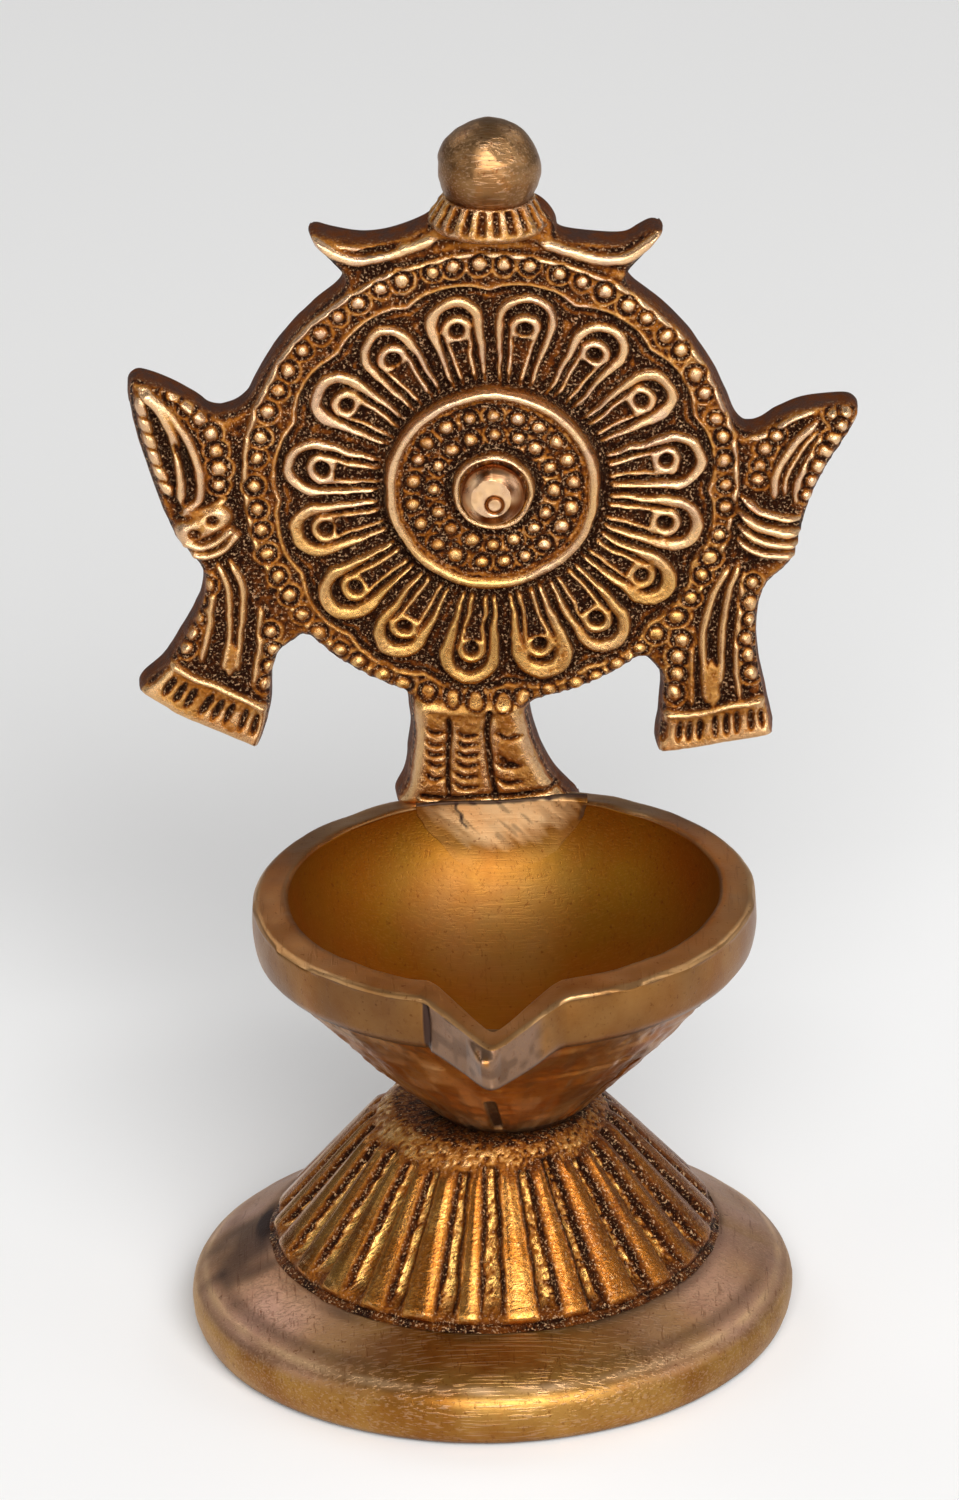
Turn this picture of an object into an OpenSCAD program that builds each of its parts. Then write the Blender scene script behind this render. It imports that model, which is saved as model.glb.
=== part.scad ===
// Cast brass diya oil lamp: a spouted oil bowl on a fluted pedestal,
// with a wheel plaque standing on the bowl's back rim.
// Frame: +Z up, the spout points along -Y, and the origin is the centre of the foot
// on the surface that it stands on.

/* [Foot] */
// Diameter of the foot disc
foot_d = 70; // [64:1:76]
// Height of the foot disc's edge
foot_edge_h = 6.4; // [5.8:0.1:7]
// Height of the land that the pedestal stands on
land_h = 10.2; // [9.6:0.1:10.6]
// Diameter of the opening under the pedestal
foot_bore_d = 42; // [38:1:44]

/* [Pedestal] */
// Diameter at the foot of the fluted cone
cone_foot_d = 50.8; // [49:0.2:53]
// Diameter at the shoulder of the fluted cone
cone_top_d = 24.8; // [23:0.2:27]
// Height of the pedestal's top above the surface
seat_h = 26.8; // [26:0.1:28]
// Number of flutes
flutes = 26; // [18:1:32]

/* [Bowl] */
// Outer diameter of the rim
bowl_d = 57.6; // [54:0.2:60]
// Diameter of the hollow at the rim
hollow_d = 49.4; // [46:0.2:50]
// Height of the rim above the surface
rim_h = 53.6; // [52:0.1:56]
// Depth of the oil hollow
hollow_depth = 19.2; // [16:0.1:20]
// Height of the plain band below the rim
band_h = 6; // [5:0.1:8]
// Reach of the spout's tip from the bowl's axis
spout_reach = 37.7; // [36:0.1:40]

/* [Plaque] */
// Diameter of the wheel
wheel_d = 58.8; // [57:0.2:60]
// Thickness of the cast plate
plate_t = 3.5; // [3:0.1:4]
// Height of the wheel's centre above the surface
wheel_h = 92.7; // [91:0.1:94]
// Number of petals round the hub
petals = 16; // [12:1:18]
// Number of beads round the wheel
beads = 56; // [40:1:60]
// Diameter of the ball on the crest
ball_d = 11.6; // [10.8:0.1:12]

/* [Hand fit] */
// How far the pedestal sits to the right of the foot's centre
pedestal_shift = 0.4; // [0:0.1:1]
// How far the bowl and plaque sit to the right of the foot's centre
upper_shift = 2.5; // [0:0.1:3]
// How far the plaque is turned clockwise, seen from the front, in degrees
plaque_turn = 2; // [0:0.5:3]
// How far the spout is turned clockwise, seen from above, in degrees
spout_turn = 3; // [0:0.5:4]

/* [Hidden] */
$fn = 120;
gap = 0.05;

// Foot and pedestal
foot_r = foot_d / 2;
foot_bore_r = foot_bore_d / 2;
land_r = cone_foot_d / 2 + 0.8;
cone_foot_r = cone_foot_d / 2;
cone_top_r = cone_top_d / 2;
cone_rim_h = 1.4;
web_t = 4;
flute_r = 0.85;
cone_base_z = land_h + cone_rim_h;
shoulder_z = seat_h - 1.2;

// Bowl
bowl_r = bowl_d / 2;
hollow_r = hollow_d / 2;
bowl_foot_r = 9.2;
rim_fall = 0.7;
band_z = rim_h - rim_fall - band_h;
spout_root_y = 20;
spout_half_w = 9;
spout_wall = 5.5;
spout_nose = 1.9;
spout_dip = 2.2;
spout_floor_z = rim_h - 5;
spout_toe_z = rim_h - 7.1;
spout_heel_z = rim_h - 13;
spout_floor_tilt = 4;

// Stud, washer and nut
stud_r = 3;
stud_top_z = seat_h + 5;
stud_low_z = 14.4;
washer_r = 6;
washer_t = 1.6;
nut_flats = 10;
nut_t = 5.2;
web_low_z = seat_h - web_t;

// Plaque: x and y are measured from the wheel's centre, and z is the height above the plate's front
wheel_r = wheel_d / 2;
plaque_y = 26;
line_r = wheel_r - 0.9;
bead_ring_r = wheel_r - 2.7;
bead_r = 0.9;
hub_disc_r = 12.4;
hub_disc_t = 2;
hub_ring_r = 4.9;
hub_ring_t = 3.6;
rivet_r = 1.5;
rivet_head_r = 3.7;
ball_r = ball_d / 2;
ball_x = -0.8;
ball_z = 37.8;
peg_r = 1.6;
collar_low_z = 31;
collar_top_z = 34.8;
neck_front = 2;
braze_half_w = 9.8;
braze_drop = 9;
braze_rise = 2.6;
braze_t = 1.2;

left_sash = [
    [-22, 10], [-30.6, 8.7], [-33.3, 10.1], [-35.9, 11.6], [-38.8, 12.8], [-41, 13], [-41.4, 10.6],
    [-40.6, 6], [-39.5, 2.2], [-37.9, -2.7], [-36.2, -6.6], [-33.4, -10.4], [-32.8, -12.6],
    [-33.6, -15.8], [-35.4, -19.2], [-37.4, -22.5], [-40.2, -25.2], [-40.2, -26.6], [-35, -29.8],
    [-30.2, -31.9], [-26.9, -33.4], [-25.9, -32.4], [-24.8, -28.6], [-24.6, -24.4], [-23.6, -21],
    [-21, -19], [-12, -10]
];
right_sash = [
    [22, 10], [29.5, 7.1], [33, 8.7], [35.6, 9.9], [38.4, 10.4], [41.6, 10.5], [42.6, 9.2], [41.4, 6.4],
    [39.1, 2.3], [37.4, -1.6], [36.2, -6.4], [35.2, -9.6], [32.6, -12.4], [31.7, -15.6], [31.6, -19.4],
    [32.2, -23.6], [33.6, -29.8], [33.4, -31.4], [27.7, -32.5], [23.7, -33.3], [20.6, -33.7], [19.8, -32.7],
    [20.2, -27.7], [20.2, -24.2], [18.3, -21.6], [10, -12]
];
crest = [
    [-18, 21], [-17.6, 26.2], [-19.4, 28.1], [-20.8, 30.2], [-20.6, 31.3], [-18.2, 30.6], [-14.9, 30],
    [-12.2, 30.2], [-9.6, 31], [-7.3, 32.1], [-6.2, 33.2], [-5, 34.8], [3.8, 34.8], [5.4, 34.4],
    [6.6, 33.4], [7.5, 32], [8.1, 30.7], [12.3, 30.1], [15.3, 30.1], [16.8, 31], [18.6, 31.9],
    [19.9, 31.5], [18.6, 29.2],
    [16.4, 26.4], [17.6, 22]
];
neck = [
    [-7.8, -25], [-8.7, -31.5], [-9.3, -36.5], [-10, -40.6], [11.6, -40.6], [10.6, -39], [8.2, -36.2],
    [6.2, -32], [5.2, -28], [5, -25]
];
left_hem = [[-39.8, -25.9], [-34.6, -29.2], [-26.8, -32.9], [-25.2, -29.6], [-33, -25.2], [-37.4, -22.9]];
right_hem = [[20.6, -33.2], [33.1, -31], [33.1, -27], [20.6, -28.6]];

module foot_disc() {
    color("darkgoldenrod")
    rotate_extrude()
        polygon([
            [foot_bore_r, 2.2], [foot_r - 6, 2.2], [foot_r - 5, 0], [foot_r - 1.4, 0], [foot_r - 0.6, 0.8],
            [foot_r - 0.1, 2.2], [foot_r, 3.6], [foot_r - 0.2, 4.9], [foot_r - 0.7, 5.8],
            [foot_r - 1.6, foot_edge_h], [land_r, land_h], [foot_bore_r, land_h]
        ]);
}

// A round-bottomed groove that runs down the cone, clear of its shoulder and its rim.
module flute() {
    run = cone_foot_r - cone_top_r;
    fall = shoulder_z - cone_base_z;
    slant = atan2(run, fall);
    translate([cone_top_r, 0, shoulder_z])
        rotate([0, 180 - slant, 0])
        translate([0.1, 0, 2.2])
        cylinder(r = flute_r, h = sqrt(run * run + fall * fall) - 5.4, $fn = 24);
}

module fluted_pedestal() {
    color("goldenrod")
    translate([pedestal_shift, 0, 0])
        difference() {
            rotate_extrude()
                polygon([
                    [foot_bore_r + 1, land_h], [cone_foot_r - 0.4, land_h], [cone_foot_r, land_h + 0.6],
                    [cone_foot_r - 0.3, cone_base_z], [cone_top_r, shoulder_z],
                    [cone_top_r - 0.5, seat_h - 0.3], [cone_top_r - 1.4, seat_h], [0, seat_h], [0, web_low_z],
                    [cone_top_r - 3.6, web_low_z], [foot_bore_r, cone_base_z + 0.2], [foot_bore_r, land_h]
                ]);
            translate([upper_shift - pedestal_shift, 0, web_low_z - 1])
                cylinder(r = stud_r + 0.1, h = web_t + 2);
            for (i = [0 : flutes - 1])
                rotate([0, 0, (i + 0.5) * 360 / flutes])
                flute();
        }
}

// Filler metal run into the crease between the pedestal and the foot disc.
module pedestal_braze() {
    color("peru")
    translate([pedestal_shift, 0, 0])
        rotate_extrude()
        polygon([
            [cone_foot_r - 0.4, land_h], [land_r - pedestal_shift, land_h], [cone_foot_r, land_h + 0.6]
        ]);
}

// Outer body of the bowl as a solid of revolution about its own axis.
module bowl_body() {
    rotate_extrude()
        polygon([
            [0, seat_h], [bowl_foot_r - 0.4, seat_h], [bowl_foot_r, seat_h + 0.4],
            [bowl_r - 2.2, band_z - 0.4], [bowl_r - 0.8, band_z + 0.3], [bowl_r, band_z + 1.6],
            [bowl_r, rim_h - rim_fall - 0.4], [bowl_r - 0.3, rim_h - rim_fall], [hollow_r, rim_h],
            [0, rim_h]
        ]);
}

// Oil hollow: half of a flattened ball, open above the rim. The inset shrinks it all round.
module bowl_hollow(inset = 0, top_z = rim_h + 8) {
    steps = 12;
    r = hollow_r - inset;
    depth = hollow_depth - inset;
    rotate_extrude()
        polygon(concat(
            [[0, top_z], [r, top_z]],
            [for (i = [0 : steps]) [r * cos(90 * i / steps), rim_h - depth * sin(90 * i / steps)]]
        ));
}

// Spout: its outline from above, kept to the outline of its side, which slopes back underneath.
module spout_outer() {
    intersection() {
        translate([0, 0, spout_heel_z])
            linear_extrude(height = rim_h - spout_heel_z)
            polygon([
                [-spout_half_w, -spout_root_y], [-7.6, -27.2], [-6.3, -28.7], [-4.8, -31.3], [-3.4, -34],
                [-2, -36.4], [-0.9, -spout_reach + 0.3], [0, -spout_reach], [0.9, -spout_reach + 0.3],
                [2, -36.4], [3.4, -34], [4.8, -31.3], [6.3, -28.7], [7.6, -27.2], [spout_half_w, -spout_root_y]
            ]);
        rotate([90, 0, 90])
            linear_extrude(height = 2 * spout_half_w, center = true)
            polygon([
                [-spout_reach + spout_nose, rim_h], [-spout_reach + spout_nose, rim_h - spout_dip],
                [-spout_reach, rim_h - spout_dip - 1], [-spout_reach + 1.2, spout_toe_z],
                [-spout_root_y - 2, spout_heel_z], [-spout_root_y, spout_heel_z], [-spout_root_y, rim_h]
            ]);
    }
}

// V-shaped channel from the hollow to the spout's tip, with a floor that rises outwards.
module spout_channel() {
    translate([0, spout_wall - spout_reach, spout_floor_z])
        rotate([-spout_floor_tilt, 0, 0])
        linear_extrude(height = 20)
        polygon([
            [-0.6, 0], [0.6, 0], [2.1, 2.7], [4.2, 5.7], [5.9, 8], [5.9, 20],
            [-5.9, 20], [-5.9, 8], [-4.2, 5.7], [-2.1, 2.7]
        ]);
}

// The rim falls away along the spout, from nothing at the root to spout_dip at the tip.
module spout_dip_cut() {
    run = spout_reach - spout_root_y - 3;
    translate([-spout_half_w, -spout_root_y - 3, rim_h])
        rotate([atan2(spout_dip, run), 0, 0])
        translate([0, -run - 10, 0])
        cube([2 * spout_half_w, run + 10, 10]);
}

module oil_bowl() {
    color("goldenrod")
    translate([upper_shift, 0, 0])
        rotate([0, 0, -spout_turn])
        difference() {
            union() {
                bowl_body();
                spout_outer();
            }
            bowl_hollow();
            spout_channel();
            spout_dip_cut();
            translate([0, 0, seat_h - 1])
                cylinder(r = stud_r + gap, h = stud_top_z - seat_h + 1.1);
        }
}

module bowl_stud() {
    color("gold")
    translate([upper_shift, 0, stud_low_z])
        cylinder(r = stud_r, h = stud_top_z - stud_low_z);
}

module stud_washer() {
    color("gold")
    translate([upper_shift, 0, web_low_z - washer_t])
        difference() {
            cylinder(r = washer_r, h = washer_t);
            translate([0, 0, -1])
                cylinder(r = stud_r + 0.2, h = washer_t + 2);
        }
}

module stud_nut() {
    color("gold")
    translate([upper_shift, 0, web_low_z - washer_t - nut_t])
        difference() {
            cylinder(r = nut_flats / 2 / cos(30), h = nut_t, $fn = 6);
            translate([0, 0, -1])
                cylinder(r = stud_r + gap, h = nut_t + 2);
        }
}

// Places a piece drawn upright about the wheel's centre, with y measured back from the plate's front.
module on_plaque() {
    translate([upper_shift, plaque_y, wheel_h])
        rotate([0, plaque_turn, 0])
        children();
}

// Raises a flat drawing from depth z0 to z1, measured forwards from the plate's front.
module relief(z0, z1) {
    rotate([90, 0, 0])
        translate([0, 0, z0])
        linear_extrude(height = z1 - z0)
        children();
}

module ring_2d(outer, inner) {
    difference() {
        circle(r = outer);
        circle(r = inner);
    }
}

// One petal drawn pointing along +Y: a round tip that narrows towards the hub.
module petal_2d(tip_r, root_half_w) {
    translate([0, 21.2])
        circle(r = tip_r, $fn = 32);
    polygon([[-root_half_w, 13.2], [root_half_w, 13.2], [tip_r, 21.2], [-tip_r, 21.2]]);
}

module petal() {
    difference() {
        petal_2d(3.2, 2.1);
        petal_2d(2.4, 1.3);
    }
    difference() {
        petal_2d(1.6, 0.6);
        translate([0, 21])
            circle(r = 0.7, $fn = 20);
    }
}

module wheel_relief() {
    relief(-0.5, 1) ring_2d(line_r + 0.4, line_r - 0.4);
    relief(-0.5, 1.1)
        for (i = [0 : petals - 1])
            rotate(-(i + 0.5) * 360 / petals)
            petal();
    relief(-0.5, hub_disc_t) circle(r = hub_disc_r);
    relief(-0.5, hub_disc_t + 0.7) ring_2d(hub_disc_r, hub_disc_r - 0.9);
    relief(-0.5, hub_ring_t) circle(r = hub_ring_r);
}

module bead_row(count, ring_r, r, z0, z1) {
    relief(z0, z1)
        for (i = [0 : count - 1])
            rotate((i + 0.5) * 360 / count)
            translate([ring_r, 0])
            circle(r = r, $fn = 20);
}

// The wrapped band that gathers a sash: two cords side by side.
module sash_knot(x, z, turn, length) {
    for (side = [-1, 1])
        relief(-0.5, 1.6)
            translate([x, z])
            rotate(turn)
            translate([0, side * 1.5])
            square([length, 2.4], center = true);
}

module collar() {
    translate([ball_x, plate_t / 2, collar_low_z])
        difference() {
            cylinder(r1 = 6.9, r2 = 5.4, h = collar_top_z - collar_low_z);
            translate([-20, plate_t / 2, -1])
                cube([40, 20, 20]);
        }
}

module neck_plate() {
    on_plaque()
        relief(-plate_t, neck_front)
        polygon(neck);
}

module chakra_plaque() {
    color("goldenrod") {
        difference() {
            union() {
                on_plaque() {
                    relief(-plate_t, 0) circle(r = wheel_r);
                    relief(-plate_t, 0) polygon(left_sash);
                    relief(-plate_t, 0) polygon(right_sash);
                    relief(-plate_t, 0) polygon(crest);
                    relief(-0.5, 1) polygon(left_hem);
                    relief(-0.5, 1) polygon(right_hem);
                    wheel_relief();
                    bead_row(beads, bead_ring_r, bead_r, -0.5, 0.9);
                    bead_row(20, 9.2, 0.95, hub_disc_t - 0.5, hub_disc_t + 0.7);
                    bead_row(16, 6.8, 0.8, hub_disc_t - 0.5, hub_disc_t + 0.7);
                    sash_knot(-31.4, -6.6, 28, 6.4);
                    sash_knot(31.6, -6.8, -24, 6.4);
                    collar();
                }
                neck_plate();
            }
            on_plaque() {
                relief(-plate_t - 1, hub_ring_t + 1) circle(r = rivet_r + gap);
                translate([ball_x, plate_t / 2, ball_z])
                    sphere(r = ball_r + 0.02);
                translate([ball_x, plate_t / 2, collar_low_z - 2])
                    cylinder(r = peg_r + gap, h = 8);
            }
            translate([upper_shift, 0, 0])
                bowl_seat();
        }
    }
}

// The bowl's rim and wall, which the neck is filed to sit on; it leaves the oil hollow out.
module bowl_seat() {
    difference() {
        bowl_body();
        bowl_hollow();
    }
}

// Filler metal that laps down inside the bowl's wall and up against the foot of the neck.
module neck_braze() {
    color("peru")
    difference() {
        translate([upper_shift, 0, 0])
            intersection() {
                difference() {
                    bowl_hollow(0, rim_h + braze_rise);
                    bowl_hollow(braze_t);
                }
                translate([-braze_half_w, 10, rim_h - braze_drop])
                    cube([2 * braze_half_w, 20, braze_drop + braze_rise]);
            }
        neck_plate();
    }
}

module hub_rivet() {
    color("gold")
    on_plaque() {
        relief(-plate_t - 0.4, hub_ring_t + 0.4) circle(r = rivet_r);
        relief(-plate_t - 1, -plate_t) circle(r = 2.6);
        translate([0, -hub_ring_t, 0])
            rotate([90, 0, 0])
            rotate_extrude()
            polygon([
                [0, 0], [rivet_head_r, 0], [rivet_head_r - 0.1, 0.6], [rivet_head_r - 0.6, 1.3],
                [rivet_head_r - 1.4, 1.8], [1.1, 2.05], [0, 2.05]
            ]);
    }
}

module finial_ball() {
    color("goldenrod")
    on_plaque()
        translate([ball_x, plate_t / 2, 0]) {
            translate([0, 0, ball_z])
                sphere(r = ball_r);
            translate([0, 0, collar_low_z - 1.8])
                cylinder(r = peg_r, h = 6);
        }
}

foot_disc();
fluted_pedestal();
pedestal_braze();
oil_bowl();
bowl_stud();
stud_washer();
stud_nut();
chakra_plaque();
neck_braze();
hub_rivet();
finial_ball();
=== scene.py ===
"""Brass diya oil lamp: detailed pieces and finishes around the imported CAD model."""

import math

import bpy
import numpy as np
from mathutils import Matrix, Vector
from mathutils.geometry import delaunay_2d_cdt


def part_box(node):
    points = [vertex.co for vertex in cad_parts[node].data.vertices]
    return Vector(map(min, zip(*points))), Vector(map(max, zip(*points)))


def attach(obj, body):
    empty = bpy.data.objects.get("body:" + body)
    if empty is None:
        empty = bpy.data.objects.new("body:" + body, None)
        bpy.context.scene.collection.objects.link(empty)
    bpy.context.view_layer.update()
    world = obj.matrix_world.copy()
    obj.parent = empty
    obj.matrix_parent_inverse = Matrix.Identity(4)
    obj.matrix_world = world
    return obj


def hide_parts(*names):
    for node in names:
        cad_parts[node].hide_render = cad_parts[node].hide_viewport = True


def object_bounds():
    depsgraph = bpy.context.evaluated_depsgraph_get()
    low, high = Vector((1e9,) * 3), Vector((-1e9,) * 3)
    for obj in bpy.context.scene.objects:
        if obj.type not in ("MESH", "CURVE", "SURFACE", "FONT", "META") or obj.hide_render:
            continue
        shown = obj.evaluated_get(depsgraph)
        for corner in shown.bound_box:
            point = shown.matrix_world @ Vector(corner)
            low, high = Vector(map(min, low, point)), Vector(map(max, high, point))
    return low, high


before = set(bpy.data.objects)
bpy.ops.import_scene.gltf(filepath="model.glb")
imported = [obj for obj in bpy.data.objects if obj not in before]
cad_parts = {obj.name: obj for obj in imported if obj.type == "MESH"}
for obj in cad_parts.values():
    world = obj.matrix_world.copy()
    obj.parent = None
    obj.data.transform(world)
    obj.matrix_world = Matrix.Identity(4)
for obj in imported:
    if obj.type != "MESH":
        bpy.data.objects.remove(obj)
cad_box = [list(corner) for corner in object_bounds()]

MM = 0.001


def box_mm(node):
    """A node's lowest and highest corners in millimetres."""
    return [np.array(corner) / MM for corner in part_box(node)]


foot_hi = box_mm("foot_disc")[1]
cone_lo, cone_hi = box_mm("fluted_pedestal")
bowl_lo, bowl_hi = box_mm("oil_bowl")
plaque_hi = box_mm("chakra_plaque")[1]
stud_lo, stud_hi = box_mm("bowl_stud")
nut_lo, nut_hi = box_mm("stud_nut")
washer_lo, washer_hi = box_mm("stud_washer")
rivet_lo, rivet_hi = box_mm("hub_rivet")
ball_lo, ball_hi = box_mm("finial_ball")

# Plaque: u runs right, v runs up and h comes forward, from the wheel's centre on the plate's front.
PLATE_T = 3.5
PLAQUE_TURN = math.radians(2)
HUB = np.array([0.6, 0.2])
WHEEL_R = 29.4
WHEEL_FLAT = 1.7
BEADS = 58
BEAD_RING_R = 27.05
DRAFT_IN = 0.45
DRAFT_DOWN = 0.35
FRONT_Y = plaque_hi[1] - PLATE_T
RIGHT = np.array([math.cos(PLAQUE_TURN), 0, -math.sin(PLAQUE_TURN)])
UP = np.array([math.sin(PLAQUE_TURN), 0, math.cos(PLAQUE_TURN)])
WHEEL = (rivet_lo + rivet_hi) / 2 - HUB[0] * RIGHT - HUB[1] * UP

BALL_R = (ball_hi[0] - ball_lo[0]) / 2
BALL_AT = np.array([(ball_lo[0] + ball_hi[0]) / 2, (ball_lo[1] + ball_hi[1]) / 2, ball_hi[2] - BALL_R])
COLLAR_LOW = 31.0
COLLAR_TOP = 34.8

# Bowl
BOWL_X = (stud_lo[0] + stud_hi[0]) / 2
BOWL_R = bowl_hi[0] - BOWL_X
RIM_Z = bowl_hi[2]
BOWL_FOOT_Z = bowl_lo[2]
HOLLOW_R = BOWL_R - 4.1
HOLLOW_DEPTH = 19.2
SPOUT_TURN = math.radians(3)

# Foot and pedestal
FOOT_R = foot_hi[0]
LAND_Z = foot_hi[2]
CONE_X = (cone_lo[0] + cone_hi[0]) / 2
CONE_FOOT_R = (cone_hi[0] - cone_lo[0]) / 2
CONE_TOP_R = 12.4
OPENING_R = 21
FLUTES = 26


# ---------------------------------------------------------------- helpers


def smooth(low, high, x):
    """An eased step from 0 at low to 1 at high. low may be the larger of the two."""
    t = np.clip((x - low) / (high - low), 0, 1)
    return t * t * (3 - 2 * t)


def fall(low, high, x):
    """An eased step from 1 at low to 0 at high."""
    return 1 - smooth(low, high, x)


def bump(centre, half, x):
    """1 at the centre, falling to 0 at half on each side."""
    return fall(0, half, np.abs(x - centre))


def noise(x, y, size, seed):
    """Smooth value noise from -1 to 1 whose blobs are about size across."""
    table = np.random.default_rng(seed).uniform(-1, 1, (128, 128))
    px, py = np.asarray(x) / size, np.asarray(y) / size
    ix, iy = np.floor(px).astype(int), np.floor(py).astype(int)
    fx, fy = (d * d * (3 - 2 * d) for d in (px - ix, py - iy))
    ix, jx, iy, jy = ix % 128, (ix + 1) % 128, iy % 128, (iy + 1) % 128
    low = table[ix, iy] * (1 - fx) + table[jx, iy] * fx
    high = table[ix, jy] * (1 - fx) + table[jx, jy] * fx
    return low * (1 - fy) + high * fy


def spline(points, per, closed=False):
    """Catmull-Rom curve through the points, with per steps between two of them."""
    p = np.array(points, float)
    if closed:
        p = np.vstack([p[-1], p, p[0], p[1]])
    else:
        p = np.vstack([2 * p[0] - p[1], p, 2 * p[-1] - p[-2]])
    t = np.linspace(0, 1, per, endpoint=False)[:, None]
    out = []
    for a, b, c, d in zip(p[:-3], p[1:-2], p[2:-1], p[3:]):
        square, cube = 2 * a - 5 * b + 4 * c - d, 3 * b - a - 3 * c + d
        out.append(0.5 * (2 * b + (c - a) * t + square * t**2 + cube * t**3))
    if not closed:
        out.append(p[-2][None])
    return np.vstack(out)


def path_distance(x, y, path):
    """Distance from each point to a polyline, and how far along it the nearest point lies."""
    best = np.full(x.shape, 1e9)
    along = np.zeros(x.shape)
    run = 0.0
    for a, b in zip(path[:-1], path[1:]):
        d = b - a
        length = float(np.hypot(*d))
        if length < 1e-9:
            continue
        t = np.clip(((x - a[0]) * d[0] + (y - a[1]) * d[1]) / length**2, 0, 1)
        dist = np.hypot(x - a[0] - t * d[0], y - a[1] - t * d[1])
        nearer = dist < best
        best[nearer] = dist[nearer]
        along[nearer] = run + t[nearer] * length
        run += length
    return best, along


def outline_distance(x, y, path):
    """Signed distance to a closed outline, negative inside."""
    dist, _ = path_distance(x, y, np.vstack([path, path[:1]]))
    inside = np.zeros(x.shape, bool)
    for a, b in zip(path, np.roll(path, -1, 0)):
        crosses = (a[1] > y) != (b[1] > y)
        if abs(b[1] - a[1]) > 1e-12:
            inside ^= crosses & (x < (b[0] - a[0]) * (y - a[1]) / (b[1] - a[1]) + a[0])
    return np.where(inside, -dist, dist)


def join_smoothly(a, b, fillet):
    """The lower of two fields, with a fillet where they meet."""
    h = np.clip(0.5 + 0.5 * (b - a) / fillet, 0, 1)
    return b * (1 - h) + a * h - fillet * h * (1 - h)


def blur(field, radius):
    """Three passes of a box blur, radius in cells."""
    r = max(1, int(round(radius)))
    for _ in range(3):
        for axis in (0, 1):
            pad = [(0, 0), (0, 0)]
            pad[axis] = (r + 1, r)
            total = np.cumsum(np.pad(field, pad, mode="edge"), axis=axis)
            n = field.shape[axis]
            high = np.take(total, range(2 * r + 1, 2 * r + 1 + n), axis=axis)
            field = (high - np.take(total, range(n), axis=axis)) / (2 * r + 1)
    return field


def make_mesh(name, verts, faces, material, attributes=None, smooth_shading=True):
    """A mesh object from points in millimetres and faces, with named float attributes on its points."""
    mesh = bpy.data.meshes.new(name)
    mesh.from_pydata((np.asarray(verts) * MM).tolist(), [], [tuple(int(i) for i in f) for f in faces])
    mesh.update()
    for key, values in (attributes or {}).items():
        layer = mesh.attributes.new(key, "FLOAT", "POINT")
        layer.data.foreach_set("value", np.ravel(values).astype(np.float32))
    mesh.polygons.foreach_set("use_smooth", [smooth_shading] * len(mesh.polygons))
    mesh.materials.append(material)
    piece = bpy.data.objects.new(name, mesh)
    bpy.context.scene.collection.objects.link(piece)
    return piece


def rings(profile, columns):
    """Grids for a stack of rings: the angle round each ring, then each column of the profile."""
    turn = np.linspace(0, math.tau, columns, endpoint=False)
    values = np.reshape(profile, (len(profile), -1)).T
    return [np.tile(turn, (len(profile), 1)), *(np.tile(column[:, None], columns) for column in values)]


def ring_faces(rows, columns, ends="capped", flip=False):
    """Faces between rings of points. The last ring is joined to the first, or both are capped."""
    starts = [(i * columns, (i + 1) * columns) for i in range(rows - 1)]
    last = (rows - 1) * columns
    if ends == "joined":
        starts.append((last, 0))
    following = [*range(1, columns), 0]
    faces = [(a + j, a + k, b + k, b + j) for a, b in starts for j, k in enumerate(following)]
    if ends == "capped":
        faces += [tuple(reversed(range(columns))), tuple(range(last, last + columns))]
    return [tuple(reversed(face)) for face in faces] if flip else faces


def around(centre_x, a, r, z):
    """Points at an angle, a radius and a height about an upright axis."""
    return np.stack([centre_x + r * np.cos(a), r * np.sin(a), z], -1).reshape(-1, 3)


def turned(name, profile, material, columns, centre_x=0, shape=None, attributes=None):
    """A closed piece turned from (r, z) points. shape(angle, r, z) may return changed r and z."""
    a, r, z = rings(profile, columns)
    if shape:
        r, z = shape(a, r, z)
    values = {key: field(a, r, z) for key, field in (attributes or {}).items()}
    faces = ring_faces(len(profile), columns, "joined")
    return make_mesh(name, around(centre_x, a, r, z), faces, material, values)


def rounded(profile, radii, steps=4):
    """Rounds the corners of an open (r, z) profile. radii is one number or one for each point."""
    p = np.asarray(profile, float)
    radii = np.broadcast_to(radii, len(p)).astype(float)
    out = [p[0]]
    for i in range(1, len(p) - 1):
        back, on = p[i - 1] - p[i], p[i + 1] - p[i]
        back_length, on_length = np.hypot(*back), np.hypot(*on)
        cut = min(radii[i], 0.45 * back_length, 0.45 * on_length)
        a, b = p[i] + back / back_length * cut, p[i] + on / on_length * cut
        for t in np.linspace(0, 1, steps + 1):
            out.append((1 - t) ** 2 * a + 2 * t * (1 - t) * p[i] + t * t * b)
    return np.array([*out, p[-1]])


def resample(profile, step):
    """Adds points so that no stretch of a profile is longer than step."""
    p = np.asarray(profile, float)
    out = [p[0]]
    for a, b in zip(p[:-1], p[1:]):
        n = max(1, int(math.ceil(np.hypot(*(b - a)) / step)))
        out += [a + (b - a) * (i + 1) / n for i in range(n)]
    return np.array(out)


# ---------------------------------------------------------------- materials


class Value:
    """A node's output that takes +, - and * with numbers and other outputs."""

    def __init__(self, nodes, socket):
        self.nodes = nodes
        self.socket = socket

    def __add__(self, other):
        return self.nodes.math("ADD", self, other)

    def __sub__(self, other):
        return self.nodes.math("SUBTRACT", self, other)

    def __rsub__(self, other):
        return self.nodes.math("SUBTRACT", other, self)

    def __mul__(self, other):
        return self.nodes.math("MULTIPLY", self, other)


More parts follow.
